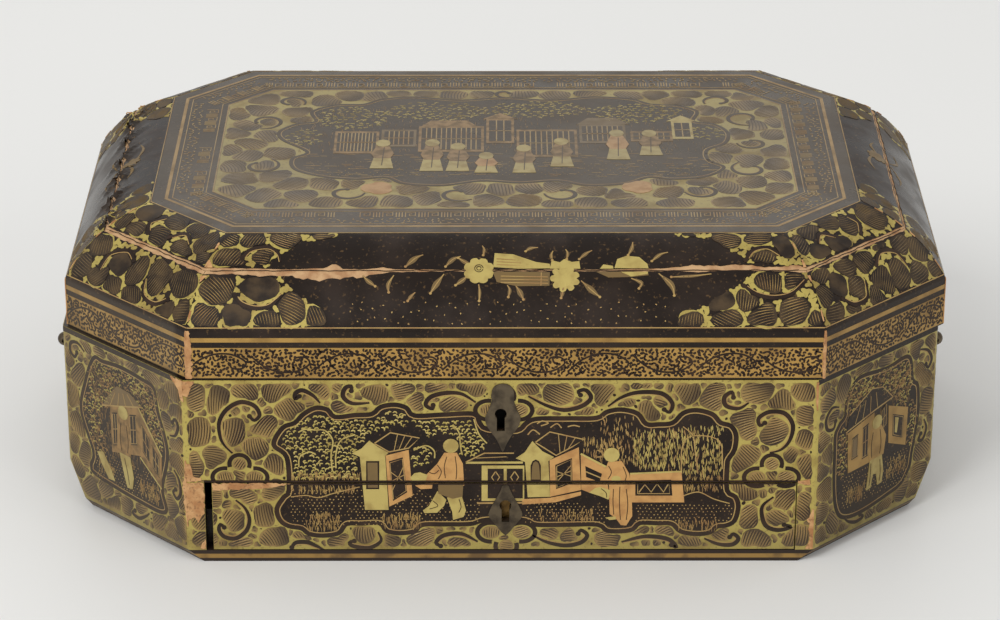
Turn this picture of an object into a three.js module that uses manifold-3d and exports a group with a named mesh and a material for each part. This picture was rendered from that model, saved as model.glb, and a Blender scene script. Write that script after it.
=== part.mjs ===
// Lacquer sewing box: an octagonal case with a cushion lid, a lift-out tray and a drawer.
// Millimetres, +Z up, front at -Y, origin on the floor under the middle of the case.
import * as THREE from "three";
import { mergeVertices } from "three/addons/utils/BufferGeometryUtils.js";
import Module from "manifold-3d";

const wasm = await Module();
wasm.setup();

// Case: eight mitred walls on a base board. The ends slope in below the knee.
const caseLength = 361;
const caseDepth = 257.4;
const cornerCut = 53.5;
const caseHeight = 81.6;
const wallThickness = 7;
const baseThickness = 5;
const baseCantInset = 4.2;
const kneeHeight = 20;
const kneeInset = 8.5;
const wellFloorThickness = 4;

// Clearances: a glued joint, the parting line under the lid, a sliding fit and a turning fit.
const jointGap = 0.2;
const partingGap = 0.3;
const slideGap = 0.4;
const turnGap = 0.3;

// Lid: a straight band, then a cushion curve that is split by the seam under the top board.
const lidBandHeight = 21.1;
const cushionRun = 36;
const cushionRise = 28.1;
const cushionSag = 4.7;
const seamShare = 0.55;
const railTopLand = 9.6;
const coveRise = 1.5;
const lidShift = 2;
const arcSteps = 8;

// Drawer, in the opening between the two stiles, with a stop behind it.
const stileWidth = 7;
const drawerOpeningHeight = 36.1;
const drawerShrinkage = 3;
const drawerFrontThickness = 8;
const drawerSideThickness = 5;
const drawerBottomThickness = 2.6;
const drawerBottomRise = 2;
const grooveDepth = 2;
const guideThickness = 3.4;
const stopDepth = 5;
const stopLength = 40;
const stopHeight = 12;

// Tray in the well, with a lidded compartment at each end.
const trayClearance = 2.4;
const trayWall = 4;
const trayFloorThickness = 3;
const trayHeight = 38.4;
const trayDivider = 3;
const trayEndLength = 102.1;
const trayLidThickness = 2.4;
const trayRebate = 1.8;
const knobRadius = 4.5;
const knobHeight = 9;

// Locks. The lid's bolt slides sideways through a loop on the lid, and the drawer's bolt slides up.
const lockPlate = 1;
const lockRecess = 4.5;
const lockProtrusion = 1.2;
const lidLockLength = 38;
const lidLockHeight = 27;
const lidKeyHeight = 66.8;
const lidBoltTravel = 5;
const lidBoltLength = 9;
const loopLength = 2;
const loopWidth = 3.7;
const loopDrop = 9.3;
const loopWindow = [1.7, 3.4];
const strikeLength = 26;
const strikeWidth = 5.4;
const drawerLockX = 1.9;
const drawerLockLength = 26;
const drawerLockHeight = 23;
const drawerKeyHeight = 25.7;
const drawerBoltTravel = 4.5;
const drawerBoltLength = 12;
const drawerBoltThickness = 1.8;
const drawerBoltSkin = 1.1;
const drawerBoltHeight = 12;
const keyholeRadius = 2.4;
const keySlotWidth = 3.2;
const keySlotDrop = 7.5;

// Escutcheons: each flank runs from the top to the tip, as half width and height from the keyhole's centre.
// The upper plate was nailed on a little to the right of its keyhole.
const escutcheonThickness = 0.8;
const lidEscutcheonShift = 0.8;
const lidEscutcheonFlank = [
  [2.3, 12.9], [4, 11.2], [4.5, 8.8], [4.6, 5.4], [5.8, 1.6], [7.1, -1.8], [6.5, -5], [5, -7.6], [3.2, -10.2],
  [1.6, -13.2], [0.7, -15.6],
];
const lidEscutcheonReach = [13.4, -17];
const drawerEscutcheonFlank = [
  [1.3, 8.8], [1.9, 7], [3.3, 4], [5.2, 0.4], [6.8, -3.6], [6.3, -5.8], [4.8, -7.8], [3.2, -10], [1.7, -12],
];
const drawerEscutcheonReach = [9.3, -13.6];

// Hinges: two butt hinges let into the back, with their barrels outside.
const hingeLength = 36;
const hingeInset = 42;
const hingeLeafWidth = 6;
const hingeLeafThickness = 1.2;
const barrelRadius = 2.2;
const hingePinRadius = 0.9;
const barrelStandoff = 0.5;
const pinOverhang = 0.6;

// End handles: a bail that hangs between two ball-headed posts.
const postInset = 37.2;
const postHeight = 58.7;
const rosetteRadius = 6.5;
const rosetteThickness = 1.2;
const postNeckRadius = 1.7;
const ballRadius = 3;
const ballCentre = 4.5;
const bailTipRadius = 0.75;
const bailGripRadius = 1.7;
const bailDrop = 24;

// Materials, one for each finish: colour, roughness and metalness.
function finish(color, roughness, metalness) {
  return new THREE.MeshStandardMaterial({ color, roughness, metalness });
}
const gildedLacquer = finish(0x7a6636, 0.42, 0.15);
const blackLacquer = finish(0x2a211d, 0.3, 0);
const bareWood = finish(0x8a5a36, 0.75, 0);
const agedBrass = finish(0x4f463a, 0.5, 0.8);
const turnedBone = finish(0xd9cdb2, 0.45, 0);

const box = new THREE.Group();

function add(name, shape, material) {
  const geometry = shape.isBufferGeometry ? shape : geometryOf(shape);
  const mesh = new THREE.Mesh(geometry, material.clone());
  mesh.name = name;
  box.add(mesh);
}

// Solids that are cut or joined.
function solidOf(geometry) {
  const bare = new THREE.BufferGeometry();
  bare.setAttribute("position", geometry.getAttribute("position"));
  bare.setIndex(geometry.index);
  const merged = mergeVertices(bare, 1e-4);
  const mesh = new wasm.Mesh({
    numProp: 3,
    vertProperties: new Float32Array(merged.attributes.position.array),
    triVerts: new Uint32Array(merged.index.array),
  });
  return new wasm.Manifold(mesh);
}

function geometryOf(solid) {
  const mesh = solid.getMesh();
  const geometry = new THREE.BufferGeometry();
  geometry.setAttribute("position", new THREE.BufferAttribute(mesh.vertProperties, 3));
  geometry.setIndex(new THREE.BufferAttribute(mesh.triVerts, 1));
  return geometry.toNonIndexed();
}

// A closed body through rings of equal count, with caps cut from the flat outline of its first ring.
function bodyThrough(rings, outline) {
  const flat = outline.map(([a, b]) => new THREE.Vector2(a, b));
  const turned = THREE.ShapeUtils.isClockWise(flat);
  const order = turned ? (ring) => [...ring].reverse() : (ring) => ring;
  const cap = THREE.ShapeUtils.triangulateShape(order(flat), []);
  const count = outline.length;
  const points = rings.flatMap(order);
  const faces = [];
  for (let r = 0; r < rings.length - 1; r++) {
    for (let i = 0; i < count; i++) {
      const next = (i + 1) % count;
      const [a, b] = [r * count + i, r * count + next];
      faces.push([a, b, b + count], [a, b + count, a + count]);
    }
  }
  const last = (rings.length - 1) * count;
  for (const [a, b, c] of cap) {
    faces.push([c, b, a], [last + a, last + b, last + c]);
  }
  const volume = faces.reduce((sum, [a, b, c]) => {
    const normal = new THREE.Vector3().crossVectors(points[b], points[c]);
    return sum + points[a].dot(normal);
  }, 0);
  const index = volume < 0 ? faces.flatMap(([a, b, c]) => [c, b, a]) : faces.flat();
  const geometry = new THREE.BufferGeometry().setFromPoints(points);
  geometry.setIndex(index);
  return geometry;
}

function block([x0, x1], [y0, y1], [z0, z1]) {
  const geometry = new THREE.BoxGeometry(x1 - x0, y1 - y0, z1 - z0);
  geometry.translate((x0 + x1) / 2, (y0 + y1) / 2, (z0 + z1) / 2);
  return geometry;
}

const blockSolid = (x, y, z) => solidOf(block(x, y, z));

function around(centre, half) {
  return [centre - half, centre + half];
}

// The octagon in plan, moved in from the outside of the case. Sides run from corner k to k + 1:
// front, front right, right, back right, back, back left, left, front left.
const cantShrink = 2 - Math.SQRT2;

function octagon(inset, shiftX = 0) {
  const x = caseLength / 2 - inset;
  const y = caseDepth / 2 - inset;
  const cut = cornerCut - inset * cantShrink;
  const corners = [
    [cut - x, -y],
    [x - cut, -y],
    [x, cut - y],
    [x, y - cut],
    [x - cut, y],
    [cut - x, y],
    [-x, y - cut],
    [-x, cut - y],
  ];
  return corners.map(([cornerX, cornerY]) => [cornerX + shiftX, cornerY]);
}

const SIDES = ["front", "front_right", "right", "back_right", "back", "back_left", "left", "front_left"];

function ringAt(outline, z) {
  return outline.map(([x, y]) => new THREE.Vector3(x, y, z));
}

function slab(outline, z0, z1) {
  return bodyThrough([ringAt(outline, z0), ringAt(outline, z1)], outline);
}

// A board along one side of the octagon: its profile is [inset, height], and both ends are mitred.
function mitredBoard(side, profile, shiftX = 0) {
  const k = SIDES.indexOf(side);
  const endAt = (corner, direction) =>
    profile.map(([inset, z]) => {
      const outline = octagon(inset, shiftX);
      const [ax, ay] = outline[k];
      const [bx, by] = outline[(k + 1) % outline.length];
      const along = new THREE.Vector3(bx - ax, by - ay, 0).normalize();
      const [x, y] = outline[corner % outline.length];
      return new THREE.Vector3(x, y, z).addScaledVector(along, (direction * jointGap) / 2);
    });
  return bodyThrough([endAt(k, 1), endAt(k + 1, -1)], profile);
}

// Case walls
const caseHalfLength = caseLength / 2;
const caseHalfDepth = caseDepth / 2;
const frontY = -caseHalfDepth;
const backY = caseHalfDepth;
const wallBottom = baseThickness + jointGap;
const kneeSlope = kneeInset / kneeHeight;
const kneeAngle = Math.atan(kneeSlope);
const insetAtHeight = (z) => Math.max(0, (kneeHeight - z) * kneeSlope);

const wallProfile = (bottom, top) => [
  [0, bottom],
  [wallThickness, bottom],
  [wallThickness, top],
  [0, top],
];

function endWallProfile() {
  const footInset = insetAtHeight(wallBottom);
  const innerKnee = kneeHeight + wallThickness * Math.tan(kneeAngle / 2);
  return [
    [0, caseHeight],
    [0, kneeHeight],
    [footInset, wallBottom],
    [footInset + wallThickness / Math.cos(kneeAngle), wallBottom],
    [wallThickness, innerKnee],
    [wallThickness, caseHeight],
  ];
}

// Everything inside the sloping ends, which trims the foot of the canted walls.
function betweenKnees() {
  const profile = [
    [caseHalfLength + 1, caseHeight + 1],
    [caseHalfLength + 1, kneeHeight],
    [caseHalfLength, kneeHeight],
    [caseHalfLength - kneeInset, 0],
    [-(caseHalfLength - kneeInset), 0],
    [-caseHalfLength, kneeHeight],
    [-(caseHalfLength + 1), kneeHeight],
    [-(caseHalfLength + 1), caseHeight + 1],
  ];
  const ringAtDepth = (y) => profile.map(([x, z]) => new THREE.Vector3(x, y, z));
  return solidOf(bodyThrough([ringAtDepth(-caseDepth), ringAtDepth(caseDepth)], profile));
}

// Keyhole outline: a round head over a straight slot, as a path round its own centre.
function keyholePath(Kind) {
  const halfSlot = keySlotWidth / 2;
  const shoulder = Math.asin(halfSlot / keyholeRadius);
  const path = new Kind();
  path.moveTo(-halfSlot, -keySlotDrop);
  path.lineTo(halfSlot, -keySlotDrop);
  path.absarc(0, 0, keyholeRadius, -Math.PI / 2 + shoulder, (3 * Math.PI) / 2 - shoulder, false);
  path.closePath();
  return path;
}

// Extrudes a shape drawn in X and Z, with its front face at y0 and its back face at y1.
function standing(shape, y0, y1, z) {
  const options = { depth: y1 - y0, bevelEnabled: false, curveSegments: 10 };
  const geometry = new THREE.ExtrudeGeometry(shape, options);
  geometry.rotateX(Math.PI / 2);
  geometry.translate(0, y1, z);
  return geometry;
}

const keyhole = (y0, y1, z, x = 0) =>
  solidOf(standing(keyholePath(THREE.Shape), y0, y1, z).translate(x, 0, 0));

// Base board: its edge follows the knee at the ends and draws in under the canted walls.
function baseBoard() {
  const ringPoints = (z, cantInset) => {
    const x = caseHalfLength - insetAtHeight(z);
    const diagonal = caseHalfLength + caseHalfDepth - cornerCut - cantInset * Math.SQRT2;
    const frontX = diagonal - caseHalfDepth;
    const sideY = diagonal - x;
    return [
      [-frontX, frontY],
      [frontX, frontY],
      [x, -sideY],
      [x, sideY],
      [frontX, backY],
      [-frontX, backY],
      [-x, sideY],
      [-x, -sideY],
    ];
  };
  const bottom = ringPoints(0, baseCantInset);
  const top = ringPoints(baseThickness, 0);
  return bodyThrough([ringAt(bottom, 0), ringAt(top, baseThickness)], bottom);
}

add("base_board", baseBoard(), gildedLacquer);

const lockFront = frontY + wallThickness - lockRecess;
const lockBack = frontY + wallThickness + lockProtrusion;
const lidLockTop = caseHeight - jointGap;
const lidLockBottom = lidLockTop - lidLockHeight;
const boltMortiseHalf = drawerBoltLength / 2 + slideGap;
const drawerLockBack = frontY + drawerFrontThickness + lockProtrusion;
const drawerBoltBack = frontY + wallThickness - drawerBoltSkin;
const drawerBoltY = [drawerBoltBack - drawerBoltThickness, drawerBoltBack];

function frontWall() {
  const board = solidOf(mitredBoard("front", wallProfile(drawerOpeningHeight, caseHeight)));
  const lockMortise = blockSolid(
    around(0, lidLockLength / 2 + jointGap),
    [lockFront - jointGap, frontY + wallThickness + 1],
    [lidLockBottom - jointGap, caseHeight + 1],
  );
  const boltMortise = blockSolid(
    around(drawerLockX, boltMortiseHalf),
    [drawerBoltY[0] - slideGap, drawerBoltY[1] + slideGap],
    [drawerOpeningHeight - 1, drawerOpeningHeight + drawerBoltTravel + slideGap],
  );
  const key = keyhole(frontY - 1, frontY + wallThickness, lidKeyHeight);
  return board.subtract(lockMortise).subtract(boltMortise).subtract(key);
}

const hingeX = octagon(0)[1][0] - hingeInset;
const hingeCentres = [-hingeX, hingeX];
const barrelY = backY + barrelStandoff + barrelRadius;
const barrelZ = caseHeight + partingGap / 2;
const leafInnerY = backY - hingeLeafWidth;

// Mortises for the hinge leaves, in the height range given.
function leafMortises(heights) {
  const mortise = (centre) =>
    blockSolid(around(centre, hingeLength / 2 + jointGap), [leafInnerY - jointGap, backY + 1], heights);
  return mortise(hingeCentres[0]).add(mortise(hingeCentres[1]));
}

function backWall() {
  const board = solidOf(mitredBoard("back", wallProfile(wallBottom, caseHeight)));
  return board.subtract(leafMortises([caseHeight - hingeLeafThickness - jointGap, caseHeight + 1]));
}

add("front_wall", frontWall(), gildedLacquer);
add("back_wall", backWall(), gildedLacquer);
add("left_end_wall", mitredBoard("left", endWallProfile()), gildedLacquer);
add("right_end_wall", mitredBoard("right", endWallProfile()), gildedLacquer);
const kneeTrim = betweenKnees();
for (const side of ["front_left", "front_right", "back_left", "back_right"]) {
  const board = solidOf(mitredBoard(side, wallProfile(wallBottom, caseHeight)));
  add("canted_wall_" + side, board.intersect(kneeTrim), gildedLacquer);
}

// Stiles: what is left of the front on either side of the drawer opening.
const frontCorner = octagon(0)[1][0];
const innerCorner = octagon(wallThickness)[1][0];
const openingHalf = frontCorner - stileWidth;
for (const [name, sign] of [["drawer_stile_left", -1], ["drawer_stile_right", 1]]) {
  const outline = [
    [sign * openingHalf, frontY],
    [sign * (frontCorner - jointGap / 2), frontY],
    [sign * (innerCorner - jointGap / 2), frontY + wallThickness],
    [sign * openingHalf, frontY + wallThickness],
  ];
  add(name, slab(outline, wallBottom, drawerOpeningHeight - jointGap), gildedLacquer);
}

// Well floor, which closes the drawer's space and carries the tray.
const wellFloorBottom = drawerOpeningHeight + jointGap;
const wellFloorTop = wellFloorBottom + wellFloorThickness;
add("well_floor", slab(octagon(wallThickness + jointGap), wellFloorBottom, wellFloorTop), blackLacquer);

// Drawer. It has shrunk, so a gap shows at its left end.
const drawerLeft = -openingHalf + drawerShrinkage;
const drawerRight = openingHalf - slideGap;
const drawerBottomZ = baseThickness + slideGap;
const drawerTopZ = drawerOpeningHeight - slideGap;
const stopY = [backY - wallThickness - jointGap - stopDepth, backY - wallThickness - jointGap];
const drawerBackY = stopY[0] - jointGap;
const panelBottom = drawerBottomZ + drawerBottomRise;
const panelTop = panelBottom + drawerBottomThickness;
const sideTopZ = drawerTopZ - slideGap;

// The drawer's bottom panel, and the room for it in the boards around it.
function bottomPanel(margin) {
  const reach = grooveDepth + margin;
  const x = [drawerLeft + drawerSideThickness - reach, drawerRight - drawerSideThickness + reach];
  const y = [frontY + drawerFrontThickness - reach, drawerBackY - drawerSideThickness + reach];
  return block(x, y, [panelBottom - margin, panelTop + margin]);
}
const panelGroove = solidOf(bottomPanel(jointGap));

const drawerLockTop = drawerTopZ - jointGap;
const drawerLockBottom = drawerLockTop - drawerLockHeight;
const drawerLockFront = frontY + drawerFrontThickness - lockRecess;

function drawerFront() {
  const boardY = [frontY, frontY + drawerFrontThickness];
  const board = blockSolid([drawerLeft, drawerRight], boardY, [drawerBottomZ, drawerTopZ]);
  const lockMortise = blockSolid(
    around(drawerLockX, drawerLockLength / 2 + jointGap),
    [drawerLockFront - jointGap, frontY + drawerFrontThickness + 1],
    [drawerLockBottom - jointGap, drawerTopZ + 1],
  );
  const key = keyhole(frontY - 1, frontY + drawerFrontThickness, drawerKeyHeight, drawerLockX);
  return board.subtract(lockMortise).subtract(key).subtract(panelGroove);
}

function drawerSide(x) {
  const y = [frontY + drawerFrontThickness + jointGap, drawerBackY];
  return blockSolid(x, y, [drawerBottomZ, sideTopZ]).subtract(panelGroove);
}

function drawerBack() {
  const x = [drawerLeft + drawerSideThickness + jointGap, drawerRight - drawerSideThickness - jointGap];
  const y = [drawerBackY - drawerSideThickness, drawerBackY];
  return blockSolid(x, y, [drawerBottomZ, sideTopZ]).subtract(panelGroove);
}

add("drawer_front", drawerFront(), gildedLacquer);
add("drawer_left_side", drawerSide([drawerLeft, drawerLeft + drawerSideThickness]), bareWood);
add("drawer_right_side", drawerSide([drawerRight - drawerSideThickness, drawerRight]), bareWood);
add("drawer_back", drawerBack(), bareWood);
add("drawer_bottom", bottomPanel(0), bareWood);

// Guides beside the drawer and the stop behind it, glued to the base board.
const guideZ = [baseThickness, baseThickness + (drawerTopZ - drawerBottomZ) / 2];
const guideLeft = [drawerLeft - slideGap - guideThickness - drawerShrinkage, drawerLeft - slideGap];
const guideRight = [drawerRight + slideGap, drawerRight + slideGap + guideThickness];
const guideY = [frontY + wallThickness + jointGap, backY - wallThickness - jointGap];
add("drawer_guide_left", block(guideLeft, guideY, guideZ), bareWood);
add("drawer_guide_right", block(guideRight, guideY, guideZ), bareWood);
const stopZ = [baseThickness, baseThickness + stopHeight];
add("drawer_stop", block(around(0, stopLength / 2), stopY, stopZ), bareWood);

// A lock case: a back plate with a rim round it and a slotted top plate, open towards the key.
function lockCase(centre, halfLength, [y0, y1], [z0, z1], slotX, slotY) {
  const shell = blockSolid(around(centre, halfLength), [y0, y1], [z0, z1]);
  const hollowZ = [z0 + lockPlate, z1 - lockPlate];
  const hollow = blockSolid(around(centre, halfLength - lockPlate), [y0 - 1, y1 - lockPlate], hollowZ);
  const slot = blockSolid(slotX, slotY, [z1 - lockPlate - 1, z1 + 1]);
  return shell.subtract(hollow).subtract(slot);
}

// Lid lock. The loop on the lid drops through the slot, and the bolt passes through the loop.
const loopY = [lockBack - lockPlate - slideGap - loopWidth, lockBack - lockPlate - slideGap];
const loopCentreY = (loopY[0] + loopY[1]) / 2;
const loopBottom = caseHeight + partingGap - loopDrop;
const loopLimb = (loopWidth - loopWindow[0]) / 2;
const windowZ = [loopBottom + loopLimb, loopBottom + loopLimb + loopWindow[1]];
const boltFingerHalf = loopWindow[0] / 2 - turnGap;
const boltFingerZ = [windowZ[0] + slideGap, windowZ[1] - slideGap];
const boltTip = -loopLength / 2 - slideGap;
const boltFingerLength = lidBoltTravel + slideGap;

add(
  "lid_lock_case",
  lockCase(
    0,
    lidLockLength / 2,
    [lockFront, lockBack],
    [lidLockBottom, lidLockTop],
    around(0, loopLength / 2 + slideGap),
    [loopY[0] - slideGap, loopY[1] + slideGap / 2],
  ),
  agedBrass,
);

function lidLockBolt() {
  const finger = blockSolid(
    [boltTip - boltFingerLength - 1, boltTip],
    around(loopCentreY, boltFingerHalf),
    boltFingerZ,
  );
  const plateX = [boltTip - boltFingerLength - lidBoltLength, boltTip - boltFingerLength];
  const plateY = [loopCentreY - boltFingerHalf, lockBack - lockPlate - turnGap];
  const plate = blockSolid(plateX, plateY, [boltFingerZ[0] - 2, boltFingerZ[1] + 2]);
  return finger.add(plate);
}
add("lid_lock_bolt", lidLockBolt(), agedBrass);

// Drawer lock. Its bolt is a block with a tongue that passes up through the top plate.
const drawerBoltStop = drawerLockTop - lockPlate - drawerBoltTravel - slideGap;

add(
  "drawer_lock_case",
  lockCase(
    drawerLockX,
    drawerLockLength / 2,
    [drawerLockFront, drawerLockBack],
    [drawerLockBottom, drawerLockTop],
    around(drawerLockX, drawerBoltLength / 2 + slideGap),
    [drawerBoltY[0] - slideGap, drawerBoltY[1] + slideGap],
  ),
  agedBrass,
);

function drawerLockBolt() {
  const halfLength = drawerBoltLength / 2;
  const tongueZ = [drawerBoltStop - 1, drawerLockTop - slideGap];
  const tongue = blockSolid(around(drawerLockX, halfLength), drawerBoltY, tongueZ);
  const shankY = [drawerBoltY[0], drawerLockBack - lockPlate - turnGap];
  const shankZ = [drawerBoltStop - drawerBoltHeight, drawerBoltStop];
  const shank = blockSolid(around(drawerLockX, halfLength), shankY, shankZ);
  return tongue.add(shank);
}
add("drawer_lock_bolt", drawerLockBolt(), agedBrass);

// Escutcheon: a plate with a rounded head, swelling flanks and a pointed foot, round its keyhole.
function escutcheon(flank, [above, below], shift, x, z) {
  const right = flank.map(([halfWidth, height]) => new THREE.Vector2(shift + halfWidth, height));
  const left = flank.map(([halfWidth, height]) => new THREE.Vector2(shift - halfWidth, height)).reverse();
  const shape = new THREE.Shape();
  shape.moveTo(shift, above);
  shape.splineThru([...right, new THREE.Vector2(shift, below)]);
  shape.splineThru([...left, new THREE.Vector2(shift, above)]);
  shape.holes.push(keyholePath(THREE.Path));
  return standing(shape, frontY - escutcheonThickness, frontY, z).translate(x, 0, 0);
}

add(
  "lid_escutcheon",
  escutcheon(lidEscutcheonFlank, lidEscutcheonReach, lidEscutcheonShift, 0, lidKeyHeight),
  agedBrass,
);
add(
  "drawer_escutcheon",
  escutcheon(drawerEscutcheonFlank, drawerEscutcheonReach, 0, drawerLockX, drawerKeyHeight),
  agedBrass,
);

// Lid: eight mitred rails under a top board. The cushion is one arc that both share.
const lidBottom = caseHeight + partingGap;
const bandTop = caseHeight + lidBandHeight;

function cushionArc(from, to, steps) {
  const chord = new THREE.Vector2(cushionRun, cushionRise);
  const radius = (chord.lengthSq() / 4 + cushionSag ** 2) / (2 * cushionSag);
  const inward = new THREE.Vector2(cushionRise, -cushionRun).normalize();
  const centre = chord.clone().multiplyScalar(0.5).addScaledVector(inward, radius - cushionSag);
  const startAngle = Math.atan2(-centre.y, -centre.x);
  const endAngle = Math.atan2(chord.y - centre.y, chord.x - centre.x);
  return Array.from({ length: steps + 1 }, (_, i) => {
    const share = from + ((to - from) * i) / steps;
    const turn = ((startAngle - endAngle + 2 * Math.PI) % (2 * Math.PI)) * share;
    const angle = startAngle - turn;
    return [centre.x + radius * Math.cos(angle), bandTop + centre.y + radius * Math.sin(angle)];
  });
}

const [seamInset, seamZ] = cushionArc(seamShare, 1, arcSteps)[0];
const railTop = seamZ - jointGap;
const coveSpring = bandTop + coveRise;

function railProfile() {
  const outer = cushionArc(0, seamShare, arcSteps).slice(0, -1);
  return [
    [0, lidBottom],
    ...outer,
    [seamInset, railTop],
    [seamInset + railTopLand, railTop],
    [wallThickness, coveSpring],
    [wallThickness, lidBottom],
  ];
}

const strikeMortise = blockSolid(
  around(0, strikeLength / 2 + jointGap),
  around(loopCentreY, strikeWidth / 2 + jointGap),
  [lidBottom - 1, lidBottom + lockPlate + jointGap],
);

for (const side of SIDES) {
  let rail = solidOf(mitredBoard(side, railProfile(), lidShift));
  if (side === "front") {
    rail = rail.subtract(strikeMortise);
  }
  if (side === "back") {
    rail = rail.subtract(leafMortises([lidBottom - 1, lidBottom + hingeLeafThickness + jointGap]));
  }
  add("lid_rail_" + side, rail, gildedLacquer);
}

function lidTopBoard() {
  const edge = cushionArc(seamShare, 1, arcSteps);
  const rings = edge.map(([inset, z]) => ringAt(octagon(inset, lidShift), z));
  return bodyThrough(rings, octagon(seamInset));
}
add("lid_top_board", lidTopBoard(), gildedLacquer);

// Strike: a plate let into the lid, with the loop that the lid's bolt passes through.
function lidStrike() {
  const plateY = around(loopCentreY, strikeWidth / 2);
  const plate = blockSolid(around(0, strikeLength / 2), plateY, [lidBottom, lidBottom + lockPlate]);
  const loop = blockSolid(around(0, loopLength / 2), loopY, [loopBottom, lidBottom + lockPlate / 2]);
  const window = blockSolid(around(0, loopLength), around(loopCentreY, loopWindow[0] / 2), windowZ);
  return plate.add(loop.subtract(window));
}
add("lid_strike", lidStrike(), agedBrass);

// Hinges. The case's leaf has the two outer knuckles and the lid's leaf has the middle one.
function alongX(radius, [x0, x1], segments = 16) {
  const geometry = new THREE.CylinderGeometry(radius, radius, x1 - x0, segments);
  geometry.rotateZ(Math.PI / 2);
  geometry.translate((x0 + x1) / 2, barrelY, barrelZ);
  return geometry;
}

function hingeLeaf(centre, heights, knuckles) {
  const plate = blockSolid(around(centre, hingeLength / 2), [leafInnerY, backY], heights);
  const pinHole = solidOf(alongX(hingePinRadius + turnGap, around(centre, hingeLength)));
  const barrel = knuckles.map((x) => {
    const tab = blockSolid(x, [backY - 1, barrelY], heights);
    return solidOf(alongX(barrelRadius, x)).add(tab);
  });
  return barrel.reduce((leaf, knuckle) => leaf.add(knuckle), plate).subtract(pinHole);
}

const knuckleLength = hingeLength / 3;
for (const [name, centre] of [["hinge_left", hingeCentres[0]], ["hinge_right", hingeCentres[1]]]) {
  const middle = around(centre, knuckleLength / 2 - turnGap / 2);
  const outerLeft = [centre - hingeLength / 2, centre - knuckleLength / 2 - turnGap / 2];
  const outerRight = [centre + knuckleLength / 2 + turnGap / 2, centre + hingeLength / 2];
  const caseHeights = [caseHeight - hingeLeafThickness, caseHeight];
  const lidHeights = [lidBottom, lidBottom + hingeLeafThickness];
  add(name + "_case_leaf", hingeLeaf(centre, caseHeights, [outerLeft, outerRight]), agedBrass);
  add(name + "_lid_leaf", hingeLeaf(centre, lidHeights, [middle]), agedBrass);
  add(name + "_pin", alongX(hingePinRadius, around(centre, hingeLength / 2 + pinOverhang), 12), agedBrass);
}

// Handle post: a rosette, a neck and a ball with a cross hole for the bail.
function handlePost(sign, y) {
  const profile = [
    [0, 0],
    [rosetteRadius, 0],
    [rosetteRadius, rosetteThickness * 0.4],
    [rosetteRadius * 0.7, rosetteThickness],
    [postNeckRadius, rosetteThickness * 1.1],
  ];
  const neckAngle = Math.asin(postNeckRadius / ballRadius);
  const ballSteps = 9;
  for (let i = 0; i <= ballSteps; i++) {
    const angle = neckAngle + ((Math.PI - neckAngle) * i) / ballSteps;
    profile.push([ballRadius * Math.sin(angle), ballCentre - ballRadius * Math.cos(angle)]);
  }
  profile[profile.length - 1][0] = 0;
  const points = profile.map(([radius, out]) => new THREE.Vector2(radius, out));
  const turned = new THREE.LatheGeometry(points, 20);
  turned.rotateZ((-sign * Math.PI) / 2);
  turned.translate(sign * caseHalfLength, y, postHeight);
  const holeRadius = bailTipRadius + turnGap;
  const hole = new THREE.CylinderGeometry(holeRadius, holeRadius, 4 * ballRadius, 12);
  hole.translate(sign * (caseHalfLength + ballCentre), y, postHeight);
  return solidOf(turned).subtract(solidOf(hole));
}

// Bail: tapered wire from one post's hole to the other's, swelling to the grip.
const postY = octagon(0)[3][1] - postInset;

function bail(sign) {
  const half = [
    [postY + ballRadius * 0.5, 0],
    [postY - ballRadius * 1.5, 0],
    [postY - ballRadius * 2.1, -bailDrop * 0.09],
    [postY - ballRadius * 2.2, -bailDrop * 0.3],
    [postY - ballRadius * 3, -bailDrop * 0.66],
    [postY - ballRadius * 5.2, -bailDrop * 0.88],
    [postY * 0.3, -bailDrop * 0.98],
  ];
  const mirrored = half.map(([y, z]) => [-y, z]).reverse();
  const along = [...half, [0, -bailDrop], ...mirrored].map(([y, z]) => new THREE.Vector3(0, y, z));
  const curve = new THREE.CatmullRomCurve3(along, false, "centripetal");
  const steps = 44;
  const sides = 8;
  const tipShare = 0.075;
  const circle = Array.from({ length: sides }, (_, i) => {
    const angle = (2 * Math.PI * i) / sides;
    return [Math.cos(angle), Math.sin(angle)];
  });
  const rings = Array.from({ length: steps + 1 }, (_, i) => {
    const share = i / steps;
    const centre = curve.getPointAt(share);
    const tangent = curve.getTangentAt(share);
    const across = new THREE.Vector3(0, -tangent.z, tangent.y);
    const fromTip = Math.max(0, Math.min(share, 1 - share) - tipShare);
    const swell = Math.sqrt(Math.sin((fromTip / (0.5 - tipShare)) * (Math.PI / 2)));
    const radius = bailTipRadius + (bailGripRadius - bailTipRadius) * swell;
    return circle.map(([a, b]) => {
      const point = centre.clone().addScaledVector(across, a * radius);
      point.x += b * radius;
      return point;
    });
  });
  const wire = bodyThrough(rings, circle);
  wire.translate(sign * (caseHalfLength + ballCentre), 0, postHeight);
  return wire;
}

for (const [name, sign] of [["handle_left", -1], ["handle_right", 1]]) {
  add(name + "_front_post", handlePost(sign, -postY), agedBrass);
  add(name + "_back_post", handlePost(sign, postY), agedBrass);
  add(name + "_bail", bail(sign), agedBrass);
}

// Tray: an octagonal rim on a floor, with a step inside its top edge for the compartment lids.
const trayInset = wallThickness + trayClearance;
const trayBottom = wellFloorTop + jointGap;
const trayFloorTop = trayBottom + trayFloorThickness;
const trayTop = trayBottom + trayHeight;
const trayLidBottom = trayTop - trayLidThickness;
const trayInnerInset = trayInset + trayWall;
const trayInnerY = caseHalfDepth - trayInnerInset;
const trayCellHalfLength = caseHalfLength - trayInnerInset - trayEndLength - trayDivider;

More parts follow.
